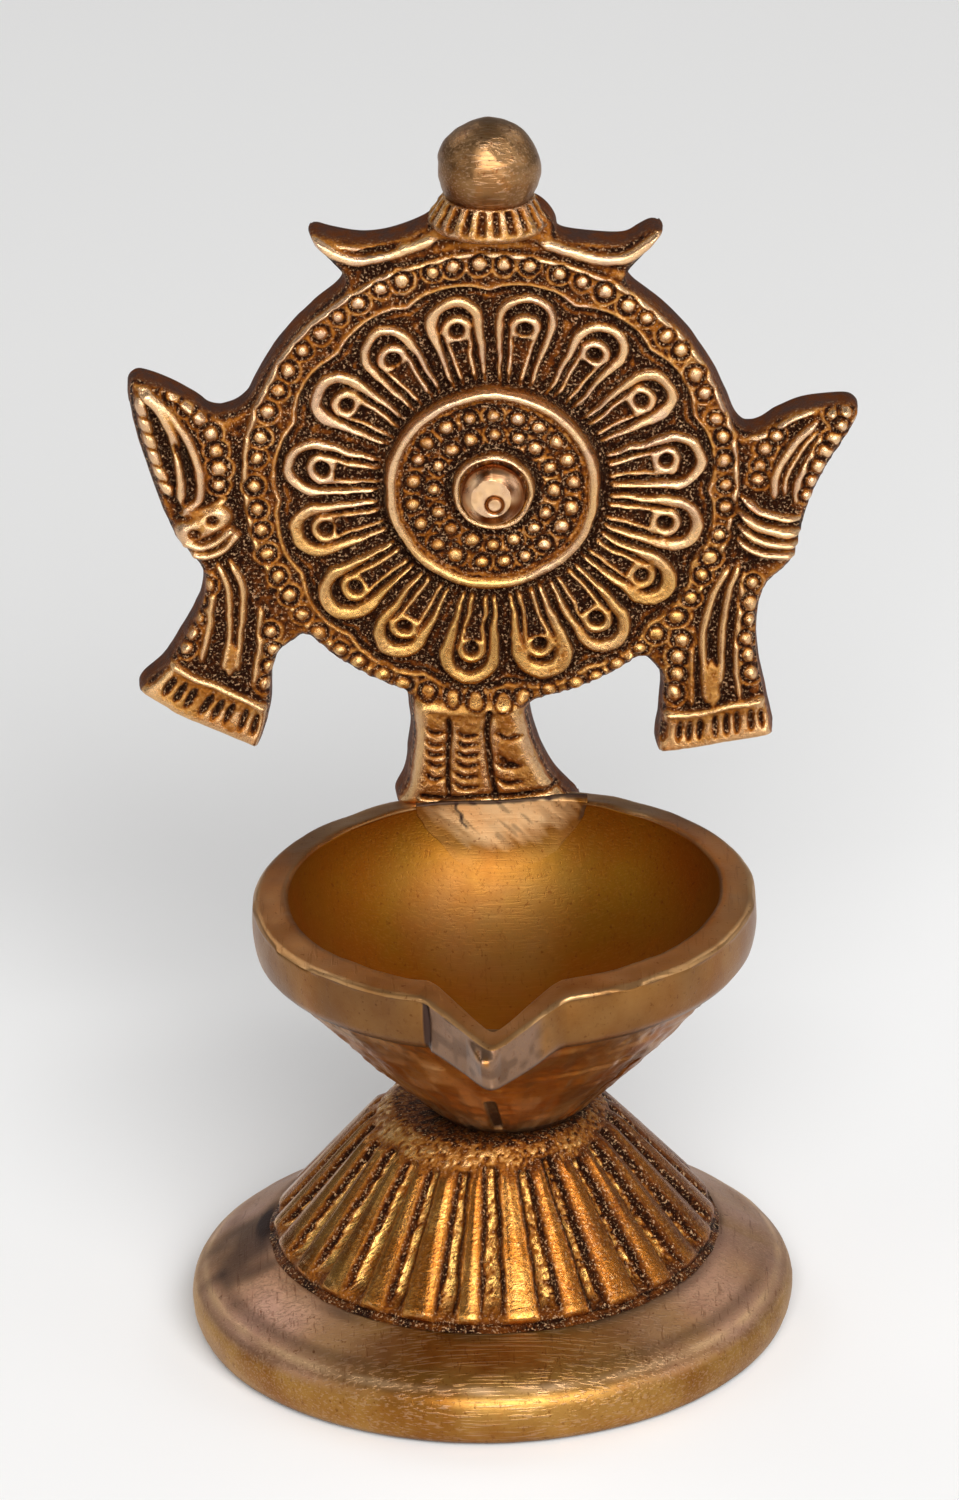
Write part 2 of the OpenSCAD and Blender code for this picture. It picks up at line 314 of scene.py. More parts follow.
class Nodes:
    """Short calls for building one material."""

    def __init__(self, name):
        self.material = bpy.data.materials.new(name)
        self.material.use_nodes = True
        self.tree = self.material.node_tree
        self.tree.nodes.clear()
        self.shader = self.tree.nodes.new("ShaderNodeBsdfPrincipled")
        out = self.tree.nodes.new("ShaderNodeOutputMaterial")
        self.tree.links.new(self.shader.outputs["BSDF"], out.inputs["Surface"])
        self.coords = self.add("TexCoord", "Object", {})

    def feed(self, socket, value):
        if isinstance(value, Value):
            self.tree.links.new(value.socket, socket)
        elif value is not None:
            socket.default_value = value

    def add(self, kind, output, inputs, **settings):
        """Adds a node, feeds its inputs with numbers or values, and returns one of its outputs."""
        node = self.tree.nodes.new("ShaderNode" + kind)
        for key, value in settings.items():
            setattr(node, key, value)
        for key, value in inputs.items():
            self.feed(node.inputs[key], value)
        return Value(self, node.outputs[output])

    def noise(self, scale, detail=4, rough=0.6, coords=None):
        """Noise with scale in blobs per metre."""
        inputs = {"Scale": scale, "Detail": detail, "Roughness": rough, "Vector": coords or self.coords}
        return self.add("TexNoise", "Fac", inputs)

    def scratches(self, stretch, turn, scale, low, high):
        """Thin lines along one direction: noise squeezed along each axis and cut to its peaks."""
        inputs = {"Scale": stretch, "Rotation": turn, "Vector": self.coords}
        return self.ramp(self.noise(scale, 3, 0.5, self.add("Mapping", "Vector", inputs)), low, high)

    def attribute(self, name):
        return self.add("Attribute", "Fac", {}, attribute_name=name)

    def math(self, operation, a, b):
        return self.add("Math", 0, {0: a, 1: b}, operation=operation)

    def ramp(self, value, low, high, to_low=0.0, to_high=1.0):
        inputs = {"Value": value, "From Min": low, "From Max": high, "To Min": to_low, "To Max": to_high}
        return self.add("MapRange", "Result", inputs, interpolation_type="SMOOTHSTEP")

    def mix(self, factor, a, b):
        a, b = (colour if isinstance(colour, Value) else (*colour, 1) for colour in (a, b))
        return self.add("Mix", "Result", {"Factor": factor, "A": a, "B": b}, data_type="RGBA")

    def blotches(self, low, high, scale, detail=4, rough=0.6):
        return self.ramp(self.noise(scale, detail, rough), low, high)

    def coats(self, colour, *coats):
        """Lays colours over a first one, each with its own share."""
        for share, over in coats:
            colour = self.mix(share, colour, over)
        return colour

    def bump(self, height, strength, distance, normal=None):
        inputs = {"Strength": strength, "Distance": distance, "Height": height, "Normal": normal}
        return self.add("Bump", "Normal", inputs)

    def finish(self, colour, roughness, metallic, normal):
        for key, value in zip(("Base Color", "Roughness", "Metallic", "Normal"),
                              (colour, roughness, metallic, normal)):
            self.feed(self.shader.inputs[key], value)
        return self.material


# Colours of the brass, from the bottoms of the recesses to the rubbed high spots (linear). The darkest also
# serves as painted shade, and the pink one after GOLD as a painted reflection.
SOOT_AND_SHADE = (0.022, 0.006, 0.002)
MAUVE = (0.085, 0.042, 0.030)
UMBER = (0.150, 0.040, 0.007)
AMBER = (0.32, 0.106, 0.014)
BRASS = (0.48, 0.234, 0.059)
GOLD = (0.60, 0.325, 0.085)
PINK_REFLECTION = (0.54, 0.31, 0.235)
ROSE = (0.62, 0.39, 0.24)
PALE = (0.74, 0.47, 0.25)


def relief_brass():
    """Antiqued casting: dark lacquer with painted glints as pale specks in the recesses, amber slopes and
    rubbed tops; on the pedestal its attributes also carry painted light and shade.
    """
    n = Nodes("relief_brass")
    crest, side, gold, polish = (n.attribute(name) for name in ("crest", "side", "gold", "polish"))
    grain = n.noise(2100, 5, 0.72)
    patch = n.noise(190)
    wear_and_light = crest + (grain - 0.5) * 0.75 + (patch - 0.5) * 0.35
    tone = n.mix(n.ramp(patch, 0.40, 0.62), BRASS, AMBER)
    rubbed = n.coats(PALE, (n.blotches(0.42, 0.60, 260, 3), ROSE), (gold, GOLD))
    # Painted glints: pale specks, most of them in the recesses.
    sparkle = n.blotches(0.56, 0.64, 3300, 3, 0.65) * n.ramp(crest, 0.05, 0.55, 0.9, 0.2)
    wall = n.mix(n.blotches(0.38, 0.66, 520, 5, 0.7), MAUVE, UMBER)
    colour = n.coats(SOOT_AND_SHADE, (n.ramp(wear_and_light, 0.02, 0.27), UMBER), (n.ramp(wear_and_light, 0.24, 0.46), AMBER),
                     (n.ramp(wear_and_light, 0.38, 0.60), tone), (n.ramp(wear_and_light, 0.60, 0.84), rubbed), (sparkle, PALE),
                     (side, wall))
    roughness = n.ramp(wear_and_light, 0.15, 0.8, 0.46, 0.25) + side * 0.16 - polish * 0.14
    pits = n.bump(grain * (1.25 - (crest + polish * 0.55)), 1.0, 0.00034)
    normal = n.bump(n.scratches((1, 1, 6), (0.5, 0.2, 0.9), 900, 0.56, 0.70), 0.18, 0.00006, pits)
    return n.finish(colour, roughness, n.ramp(wear_and_light, 0.05, 0.35, 0.92, 1.0), normal)


def brushed(n, line_turn, depth):
    """Shared wear of the turned pieces: mottling and two sets of scratches, the long ones depth strong."""
    mottle = n.noise(420, 5, 0.7)
    lines = n.scratches((0.4, 15, 15), line_turn, 270, 0.52, 0.64)
    nicks = n.scratches((13, 0.7, 8), (0.0, 0.1, -1.0), 200, 0.60, 0.68)
    normal = n.bump(lines, depth, 0.00006, n.bump(mottle, 0.22, 0.00014))
    return mottle, lines, nicks, n.bump(nicks, 0.25, 0.00005, normal)


def turned_brass(name, line_turn, light, dark, rough):
    """Turned and brushed brass under lacquer, with a painted pink reflection on the foot's left and right
    sides, stains and painted shade in a dark coat, and pale on rubbed edges, partly a painted highlight.
    """
    n = Nodes(name)
    stain_and_shade, side_reflection, wear_and_light = (n.attribute(key) for key in ("stain_and_shade", "side_reflection", "wear_and_light"))
    patch = n.noise(70, 5, 0.62)
    mottle, lines, nicks, normal = brushed(n, line_turn, 0.40)
    specks = n.blotches(0.66, 0.74, 1900, 2, 0.5)
    # The pink coat on the sides is a painted reflection, and the last, darkest coat paints stains together
    # with painted shade.
    colour = n.coats(dark, (n.ramp(patch, 0.34, 0.66), light), (n.ramp(mottle, 0.50, 0.72) * 0.35, AMBER),
                     (side_reflection * 0.8, PINK_REFLECTION), (lines * 0.32, ROSE), (wear_and_light * 0.85, PALE), (nicks * 0.36, UMBER),
                     (specks * 0.6, UMBER), (stain_and_shade, SOOT_AND_SHADE))
    roughness = mottle * 0.18 + patch * 0.12 + stain_and_shade * 0.2 + rough
    return n.finish(colour, roughness, n.ramp(stain_and_shade, 0.3, 1.0, 1.0, 0.6), normal)


def bowl_brass():
    """The bowl: green-gold inside, rosy brown rim, greyer filed spout, amber body and coppery filler; the
    filler colour also paints highlights on the body's front and in the hollow, and the darkest coat paints
    stains together with painted shade.
    """
    n = Nodes("bowl_brass")
    stain_and_shade, tone, copper_and_highlight = (n.attribute(name) for name in ("stain_and_shade", "tone", "copper_and_highlight"))
    patch = n.noise(75)
    mottle, lines, nicks, normal = brushed(n, (0.2, 0.1, 0.5), 0.16)
    body = n.mix(n.blotches(0.38, 0.62, 160), AMBER, (0.42, 0.19, 0.040))
    band = n.mix(n.blotches(0.38, 0.64, 110), (0.38, 0.188, 0.064), (0.30, 0.126, 0.034))
    filler = n.mix(n.blotches(0.36, 0.66, 130), (0.94, 0.57, 0.26), (1.0, 0.72, 0.40))
    specks = n.blotches(0.65, 0.73, 1700, 2, 0.5)
    spout, dirt_and_shade = (0.26, 0.150, 0.092), (0.035, 0.012, 0.005)
    inside = n.mix(n.ramp(patch, 0.30, 0.70), (0.24, 0.108, 0.008), (0.25, 0.082, 0.006))
    colour = n.coats(inside, (n.ramp(tone, 0.05, 0.25), body), (n.ramp(tone, 0.4, 0.65), band),
                     (n.ramp(tone, 0.75, 1.0), spout), (copper_and_highlight, filler), (lines * 0.10, BRASS),
                     (nicks * 0.22, UMBER), (specks * 0.55, UMBER), (stain_and_shade, dirt_and_shade))
    roughness = mottle * 0.16 + patch * 0.12 + n.ramp(tone, 0.0, 0.3, 0.14, 0.0) + copper_and_highlight * 0.16 + 0.22
    return n.finish(colour, roughness, n.ramp(stain_and_shade, 0.3, 1.0, 1.0, 0.5), normal)


def bright_brass():
    """Filed and rubbed metal with fine file marks."""
    n = Nodes("bright_brass")
    patch = n.noise(420)
    lines = n.scratches((1, 10, 1), (0.2, 0.6, 0.3), 700, 0.5, 0.66)
    colour = n.mix(lines * 0.25, n.mix(n.ramp(patch, 0.36, 0.62), ROSE, PALE), BRASS)
    colour = n.mix(n.ramp(n.attribute("crest"), 0.25, 0.6), UMBER, colour)
    normal = n.bump(lines, 0.25, 0.00006, n.bump(patch, 0.2, 0.0001))
    return n.finish(colour, n.ramp(patch, 0.3, 0.7, 0.24, 0.36), 1.0, normal)


def machined_brass():
    """Plain hardware: yellow brass, turned, a little tarnished."""
    n = Nodes("machined_brass")
    patch = n.noise(300)
    turning = n.scratches((1, 1, 20), (0, 0, 0), 500, 0.48, 0.62)
    colour = n.mix(n.ramp(patch, 0.35, 0.68), (0.66, 0.44, 0.15), (0.40, 0.22, 0.07))
    return n.finish(colour, n.ramp(patch, 0.3, 0.7, 0.26, 0.42), 1.0, n.bump(turning, 0.3, 0.00005))


# ---------------------------------------------------------------- plaque


def raise_to(field, value, where=slice(None)):
    """Lifts a field, in place, to a value wherever the value is higher."""
    field[where] = np.maximum(field[where], value)


DEEP = -9


def only(shape, height):
    """A height where a shape is present, and far below everything elsewhere."""
    return np.where(shape > 0.01, height, DEEP)


class Relief:
    """A height field over the plaque, in millimetres forward of the plate's front, and its wear."""

    def __init__(self, low, high, step):
        self.step = step
        self.us = np.arange(low[0], high[0] + step, step)
        self.vs = np.arange(low[1], high[1] + step, step)
        self.u, self.v = np.meshgrid(self.us, self.vs, indexing="ij")
        self.h, self.rubbed, self.sooty = (np.zeros(self.u.shape) for _ in range(3))
        # A hand-cut pattern never runs true, so strokes are laid over slightly warped coordinates.
        self.wu = self.u + 0.16 * noise(self.u, self.v, 3.1, 1) + 0.06 * noise(self.u, self.v, 0.9, 2)
        self.wv = self.v + 0.16 * noise(self.u, self.v, 3.1, 3) + 0.06 * noise(self.u, self.v, 0.9, 4)

    def window(self, path, margin):
        """The part of the grid under a path and its margin."""
        spans = zip(path.min(0) - margin, path.max(0) + margin)
        return tuple(slice(*np.searchsorted(axis, span)) for axis, span in zip((self.us, self.vs), spans))

    def stroke(self, points, half, height, taper=0.0, soft=0.22, cut=False, base=0.0):
        """A ridge, or a groove if cut, along a smooth curve. taper narrows both its ends."""
        path = spline(points, 6) if len(points) > 2 else np.array(points, float)
        win = self.window(path, half + soft + 0.4)
        d, along = path_distance(self.wu[win], self.wv[win], path)
        width = np.full(d.shape, float(half))
        if taper:
            total = np.hypot(*np.diff(path, axis=0).T).sum()
            width *= smooth(-0.2, taper, np.minimum(along, total - along)) * 0.75 + 0.25
        shape = fall(width - soft, width + soft, d)
        if cut:
            self.h[win] -= height * shape
            raise_to(self.sooty, 0.8 * shape, win)
        else:
            raise_to(self.rubbed, min(0.85, 0.6 * height) * shape, win)
            raise_to(self.h, only(shape, base + height * shape), win)

    def bead(self, centre, radius, height, base=0.0, ring=True):
        """A punched bead: a dome in a ring-shaped groove with a faint raised lip."""
        win = self.window(np.array([centre], float), radius * 2.2)
        d = np.hypot(self.wu[win] - centre[0], self.wv[win] - centre[1])
        if ring:
            self.h[win] -= 1.1 * bump(radius * 1.25, radius * 0.5, d)
            lip = bump(radius * 1.78, radius * 0.34, d)
            raise_to(self.h, base + 0.45 * lip, win)
            raise_to(self.rubbed, 0.85 * lip, win)
            raise_to(self.sooty, bump(radius * 1.28, radius * 0.42, d), win)
        dome = base + height * np.sqrt(np.clip(1 - (d / radius) ** 2, 0, 1))
        self.h[win] = np.where(d < radius, dome, self.h[win])
        raise_to(self.rubbed, fall(radius * 0.7, radius, d), win)

    def bead_line(self, points, spacing, radius, height, seed):
        path = spline(points, 10)
        lengths = np.concatenate([[0], np.cumsum(np.hypot(*np.diff(path, axis=0).T))])
        rng = np.random.default_rng(seed)
        for s in np.arange(spacing * 0.4, lengths[-1], spacing):
            at = np.array([np.interp(s, lengths, path[:, k]) for k in (0, 1)]) + rng.uniform(-0.12, 0.12, 2)
            self.bead(at, radius * rng.uniform(0.88, 1.08), height * rng.uniform(0.8, 1.1))


LEFT_SASH = [
    [-22, 10], [-30.6, 8.7], [-33.3, 10.1], [-35.9, 11.6], [-38.8, 12.8], [-41, 13], [-41.4, 10.6],
    [-40.6, 6], [-39.5, 2.2], [-37.9, -2.7], [-36.2, -6.6], [-33.4, -10.4], [-32.8, -12.6], [-33.6, -15.8],
    [-35.4, -19.2], [-37.4, -22.5], [-40.2, -25.2], [-40.2, -26.6], [-35, -29.8], [-30.2, -31.9],
    [-26.9, -33.4], [-25.9, -32.4], [-24.8, -28.6], [-24.6, -24.4], [-23.6, -21], [-21, -19], [-12, -10],
]
RIGHT_SASH = [
    [22, 10], [29.5, 7.1], [33, 8.7], [35.6, 9.9], [38.4, 10.4], [41.6, 10.5], [42.6, 9.2], [41.4, 6.4],
    [39.1, 2.3], [37.4, -1.6], [36.2, -6.4], [35.2, -9.6], [32.6, -12.4], [31.7, -15.6], [31.6, -19.4],
    [32.2, -23.6], [33.6, -29.8], [33.4, -31.4], [27.7, -32.5], [23.7, -33.3], [20.6, -33.7],
    [19.8, -32.7], [20.2, -27.7], [20.2, -24.2], [18.3, -21.6], [10, -12],
]
CREST = [
    [-14, 21], [-16.9, 25.4], [-19.4, 28.1], [-20.8, 30.2], [-20.6, 31.3], [-18.2, 30.6], [-14.9, 30],
    [-12.2, 30.2], [-9.6, 31], [-7.3, 32.1], [-6.2, 33.2], [-5, 34.8], [3.8, 34.8], [5.4, 34.4],
    [6.6, 33.4], [7.5, 32], [8.1, 30.7], [12.3, 30.1], [15.3, 30.1], [16.8, 31], [18.6, 31.9],
    [19.9, 31.5], [18.6, 29.2], [15.8, 25.9], [13, 21],
]
NECK = [
    [-7.8, -25], [-8.7, -31.5], [-9.3, -36.5], [-10, -40.6], [0, -41], [11.6, -40.6], [10.6, -39],
    [8.2, -36.2], [6.2, -32], [5.2, -28], [5, -25],
]
# One petal for each lean, in degrees off an even spacing.
PETAL_LEANS = [-2, 0, 0, 0.5, 0, -2, -3, -4.5, -4, -3, -3.5, -3, -4, -2, -2.5, -2]
PETAL_CENTRE = np.array([0.9, -0.5])
TIP_R = 20.9


def wheel_edge(u, v):
    """Signed distance to the wheel's rim, which is slightly flattened."""
    return np.maximum(np.hypot(u, v), np.hypot(u, v - WHEEL_FLAT)) - WHEEL_R


def plaque_outline(u, v):
    """Signed distance to the back edge of the casting."""
    shape = wheel_edge(u, v)
    for points, fillet in ((LEFT_SASH, 1.1), (RIGHT_SASH, 1.1), (CREST, 1.1), (NECK, 1.6)):
        shape = join_smoothly(shape, outline_distance(u, v, spline(points, 5, closed=True)), fillet)
    return shape


def add_wheel(f):
    """Border line, punched beads, two scalloped lines and the petals."""
    rng = np.random.default_rng(11)
    r = np.hypot(f.wu, f.wv)
    edge = wheel_edge(f.wu - 0.3, f.wv)
    low_side = smooth(0.80, 0.97, -f.v / np.maximum(r, 1))
    on_wheel = r < WHEEL_R + 1
    f.h -= 0.35 * bump(-2.0, 0.7, edge) * on_wheel
    wander = 0.12 * noise(f.u, f.v, 4, 12)
    border = (1.15 - 0.9 * low_side) * fall(0.1, 0.46, np.abs(edge + 1.12 - wander))
    raise_to(f.h, only(border * on_wheel, border))
    for i in range(BEADS):
        t = math.tau * (i + 0.5) / BEADS + rng.uniform(-0.012, 0.012)
        ring_r = BEAD_RING_R + rng.uniform(-0.15, 0.15) - 0.3 * max(0, -math.cos(t)) ** 3
        at = (ring_r * math.sin(t) + 0.4, ring_r * math.cos(t))
        f.bead(at, 0.80 * rng.uniform(0.9, 1.12), 0.80 * rng.uniform(0.7, 1.1), 0.05)
    pu = f.wu - PETAL_CENTRE[0]
    pv = f.wv - PETAL_CENTRE[1]
    pr = np.hypot(pu, pv)
    turns = [math.radians((i + 0.5) * 360 / len(PETAL_LEANS) + lean) for i, lean in enumerate(PETAL_LEANS)]
    # The scallops are arcs about a point inside each petal, the outer line sharp and the inner one broad.
    arc_at, sharp_r, groove_r, broad_r = 16, 9.5, 8.95, 8.45
    arc = np.min([np.hypot(pu - arc_at * math.sin(t), pv - arc_at * math.cos(t)) for t in turns], axis=0)
    ring = (pr > 22.2) & (pr < 26.6)
    f.h = f.h - 0.55 * bump(groove_r, 0.6, arc) * ring - 0.30 * smooth(8.9, 8.0, arc) * ring
    sharp = fall(0.05, 0.34, np.abs(arc - sharp_r)) * ring
    broad = fall(0.1, 0.5, np.abs(arc - broad_r)) * ring
    raise_to(f.h, only(sharp, 0.62 * sharp))
    raise_to(f.rubbed, 0.6 * sharp)
    raise_to(f.sooty, 0.8 * bump(groove_r, 0.35, arc) * ring)
    raise_to(f.h, only(broad, -0.40 + 0.42 * broad))
    for t in turns:
        add_petal(f, pu, pv, t, TIP_R + rng.uniform(-0.15, 0.15), rng)


def add_petal(f, pu, pv, turn, tip_r, rng):
    """One petal: a flat-topped arch that thins to a line at its root, round a keyhole and its slot."""
    along = pu * math.sin(turn) + pv * math.cos(turn)
    across = pu * math.cos(turn) - pv * math.sin(turn)
    near = (np.abs(across) < 5) & (along > 11.5) & (along < 27)
    a, s = along[near], across[near]
    h = f.h[near]
    root_r, stem_r = 13.2, 13.4
    tip_half = 3.45 * rng.uniform(0.95, 1.04)
    root_half, floor_h = 1.95, -0.5
    height = rng.uniform(0.9, 1.1)
    thick = rng.uniform(1.0, 1.45) + 0.35 * max(0, -math.cos(turn))
    past = np.clip((a - root_r) / (tip_r - root_r), 0, 1)
    fade = smooth(12.7, 13.5, a)
    drift = 0.14 * noise(f.u[near], f.v[near], 1.6, 14)
    from_tip = np.hypot(s, a - tip_r) + drift
    side = np.abs(s) + drift
    # How far inside the arch's outer edge.
    depth = np.where(a > tip_r, tip_half - from_tip, (root_half + (tip_half - root_half) * past) - side)
    band = 0.40 + (thick - 0.40) * past**1.3
    outside = h - 0.35 * smooth(-0.9, -0.1, depth) * fade * (a < tip_r + 1)
    h = np.where((depth > 0) & (a > root_r - 0.3), floor_h, outside)
    arch = smooth(-0.10, 0.12, depth) * smooth(band + 0.10, band - 0.12, depth)
    lift = 1.15 - 0.22 * np.clip(depth / band, 0, 1)
    raise_to(h, only(arch, floor_h + (lift - floor_h) * height * arch * fade))
    # Keyhole: a raised tongue that ends in a ring round a punched hole.
    hole_at = tip_r - 0.85
    below = np.clip((a - stem_r) / (hole_at - stem_r), 0, 1)
    from_hole = np.hypot(s * 0.95, a - hole_at) + drift * 0.7
    inset = np.where(a > hole_at, 1.78 - from_hole, 1.02 + 0.72 * below**1.5 - side)
    tongue = smooth(-0.10, 0.12, inset)
    raise_to(h, only(tongue, floor_h + (0.42 + 0.98 * height) * tongue * fade))
    slot = smooth(0.34, 0.56, inset) * (a < hole_at - rng.uniform(0.9, 1.8)) * fade
    h -= (0.80 + 0.15 * noise(a, s, 0.6, 15)) * slot
    hole = fall(0.66, 0.96, from_hole)
    h -= 1.9 * hole * (1 - 0.4 * slot)
    h += 0.4 * np.sqrt(np.clip(1 - (from_hole / 0.45) ** 2, 0, 1))
    f.h[near] = h
    rim = tongue * (1 - slot) * (1 - hole) * (0.6 + 0.4 * below)
    rubbed = np.maximum(arch * (0.55 + 0.45 * past), rim) * fade
    raise_to(f.rubbed, rubbed * rng.uniform(0.85, 1.0), near)
    gap = smooth(band + 0.05, band + 0.3, depth) * smooth(0.0, -0.2, inset) * fade
    for soot in (0.7 * slot, hole, 0.75 * gap):
        raise_to(f.sooty, soot, near)


def add_hub(f):
    """Raised disc at the wheel's centre: a rim, two rings of beads and the seat of the button."""
    rng = np.random.default_rng(23)
    r = np.hypot(f.wu - HUB[0], f.wv - HUB[1])
    disc_r, rim_r, line_r = 12.5, 11.68, 10.72
    disc_h, rim_h, seat_h = 1.62, 2.75, 3.45
    outer_moat, middle_moat, inner_moat = 10.35, 8.05, 5.65
    f.h -= 0.55 * bump(disc_r + 0.45, 0.9, r)
    disc = disc_h * fall(disc_r - 0.45, disc_r, r)
    f.h = np.where(r < disc_r, np.maximum(disc, np.where(r > disc_r - 0.3, f.h, DEEP)), f.h)
    raise_to(f.h, np.where(r < disc_r + 0.5, rim_h * fall(0.42, 0.85, np.abs(r - rim_r)), DEEP))
    line = disc_h + 0.5 * fall(0.1, 0.34, np.abs(r - line_r))
    raise_to(f.h, np.where(r < disc_r - 0.5, line, DEEP))
    inner = r < line_r - 0.12
    for moat_r, half, depth in ((middle_moat, 0.6, 0.45), (inner_moat, 0.6, 0.45), (outer_moat, 0.4, 0.3)):
        f.h -= depth * bump(moat_r, half, r) * inner
    soot = bump(middle_moat, 0.5, r) + bump(outer_moat, 0.35, r) + bump(inner_moat - 0.15, 0.5, r)
    raise_to(f.sooty, soot * inner)
    raise_to(f.rubbed, 0.9 * bump(rim_r, 0.75, r))
    for count, ring_r, size in ((21, 9.2, 0.82), (16, 6.85, 0.77)):
        for i in range(count):
            t = math.tau * (i + rng.uniform(-0.1, 0.1)) / count
            at = HUB + ring_r * np.array([math.sin(t), math.cos(t)]) + rng.uniform(-0.1, 0.1, 2)
            f.bead(at, size * rng.uniform(0.88, 1.08), 0.85 * rng.uniform(0.75, 1.1), 1.65)
    f.h = np.where(r < 5.05, np.maximum(seat_h * fall(4.5, 5.0, r), 1.3), f.h)
    f.h -= 0.6 * fall(0.1, 0.4, np.abs(r - 3.75))
    raise_to(f.rubbed, 0.95 * bump(4.35, 0.55, r))
    f.sooty[r < 4.7] = 0


def add_left_sash(f):
    beads = [(-36.8, 11.2), (-34.2, 9.3), (-32.1, 6.9), (-31, 4.1), (-30.7, 1.6), (-30.9, -1.4)]
    f.bead_line(beads, 2.15, 0.85, 0.85, 5)
    f.stroke([(-39.9, 11.6), (-37.6, 11.8), (-35.5, 10.3), (-33.3, 8)], 0.32, 0.75, 1)
    fold = [(-39.6, 11.2), (-37.8, 9.4), (-36.3, 6.6), (-35.3, 3.3), (-35.1, 0), (-35.1, -2.4)]
    f.stroke(fold, 0.55, 1.5, 1.2)
    fold = [(-38.8, 11), (-36.5, 8.7), (-34.4, 5.6), (-33.3, 3), (-32.8, 0.6), (-33.1, -1.9), (-34.6, -3)]
    f.stroke(fold, 0.5, 1.4)
    f.stroke([(-35.8, 5.2), (-34.6, 2.6), (-34.1, 0)], 0.42, 0.9, 1, cut=True)
    f.stroke([(-39.9, 10.6), (-39.3, 7.8), (-38.4, 4.4), (-37.3, 1), (-36.3, -1.2)], 0.62, 1.15, 0.8)
    for v in (8.6, 6.6, 4.6, 2.6, 0.8):
        shift = 0.28 * (8.6 - v)
        f.stroke([(-40.4 + shift * 1.15, v), (-38.0 + shift, v - 0.7)], 0.16, 0.5, cut=True)
    # Knot: a rounded lump with two dimples, and cords wrapped under it.
    f.stroke([(-35.3, -3.6), (-33.2, -3.3), (-31.2, -2.5), (-29.9, -1.7)], 0.38, 1.3, 0.6)
    f.stroke([(-34.3, -5.7), (-32.4, -4.8), (-30.9, -3.9)], 1.55, 2.0, soft=0.7)
    for u, v in ((-33.5, -5.8), (-31.5, -4.1)):
        f.stroke([(u - 0.1, v), (u + 0.1, v)], 0.55, 1.0, cut=True)
        f.bead((u, v), 0.34, 0.5, 1.3, ring=False)
    f.stroke([(-34.6, -7), (-33, -7.5), (-31.2, -6.9), (-29.5, -5.4)], 0.5, 2.1)
    f.stroke([(-33.6, -8.6), (-32, -8.7), (-30.1, -7.8), (-28.9, -6)], 0.5, 1.8)
    # Tail: long folds between two rows of beads.
    f.stroke([(-31, -10), (-29.9, -12.7), (-29.5, -15.6), (-29.7, -19.1), (-30.4, -23.3)], 0.34, 1.1, 1)
    f.stroke([(-29.5, -9.6), (-28.3, -12.4), (-28, -15.6), (-28.3, -19.1), (-28.7, -23.4)], 0.38, 1.15, 1)
    f.stroke([(-29.3, -20), (-29.5, -22), (-29.7, -23.8)], 0.8, 1.0, 1)
    f.stroke([(-31.7, -11.3), (-31.6, -15), (-32.3, -19.2), (-33, -22.4)], 0.4, 0.95, 1)
    f.stroke([(-26, -15.4), (-26, -19.6), (-26.5, -22.7), (-26.9, -25.6)], 0.34, 0.95, 1)
    beads = [(-32, -12), (-32.7, -14.4), (-33.3, -16.6), (-34.1, -18.7), (-34.9, -21)]
    f.bead_line(beads, 2.1, 0.8, 0.85, 7)
    f.bead_line([(-24.8, -17.6), (-24.7, -21), (-25.2, -23.9), (-25.7, -26)], 2.2, 0.78, 0.8, 8)


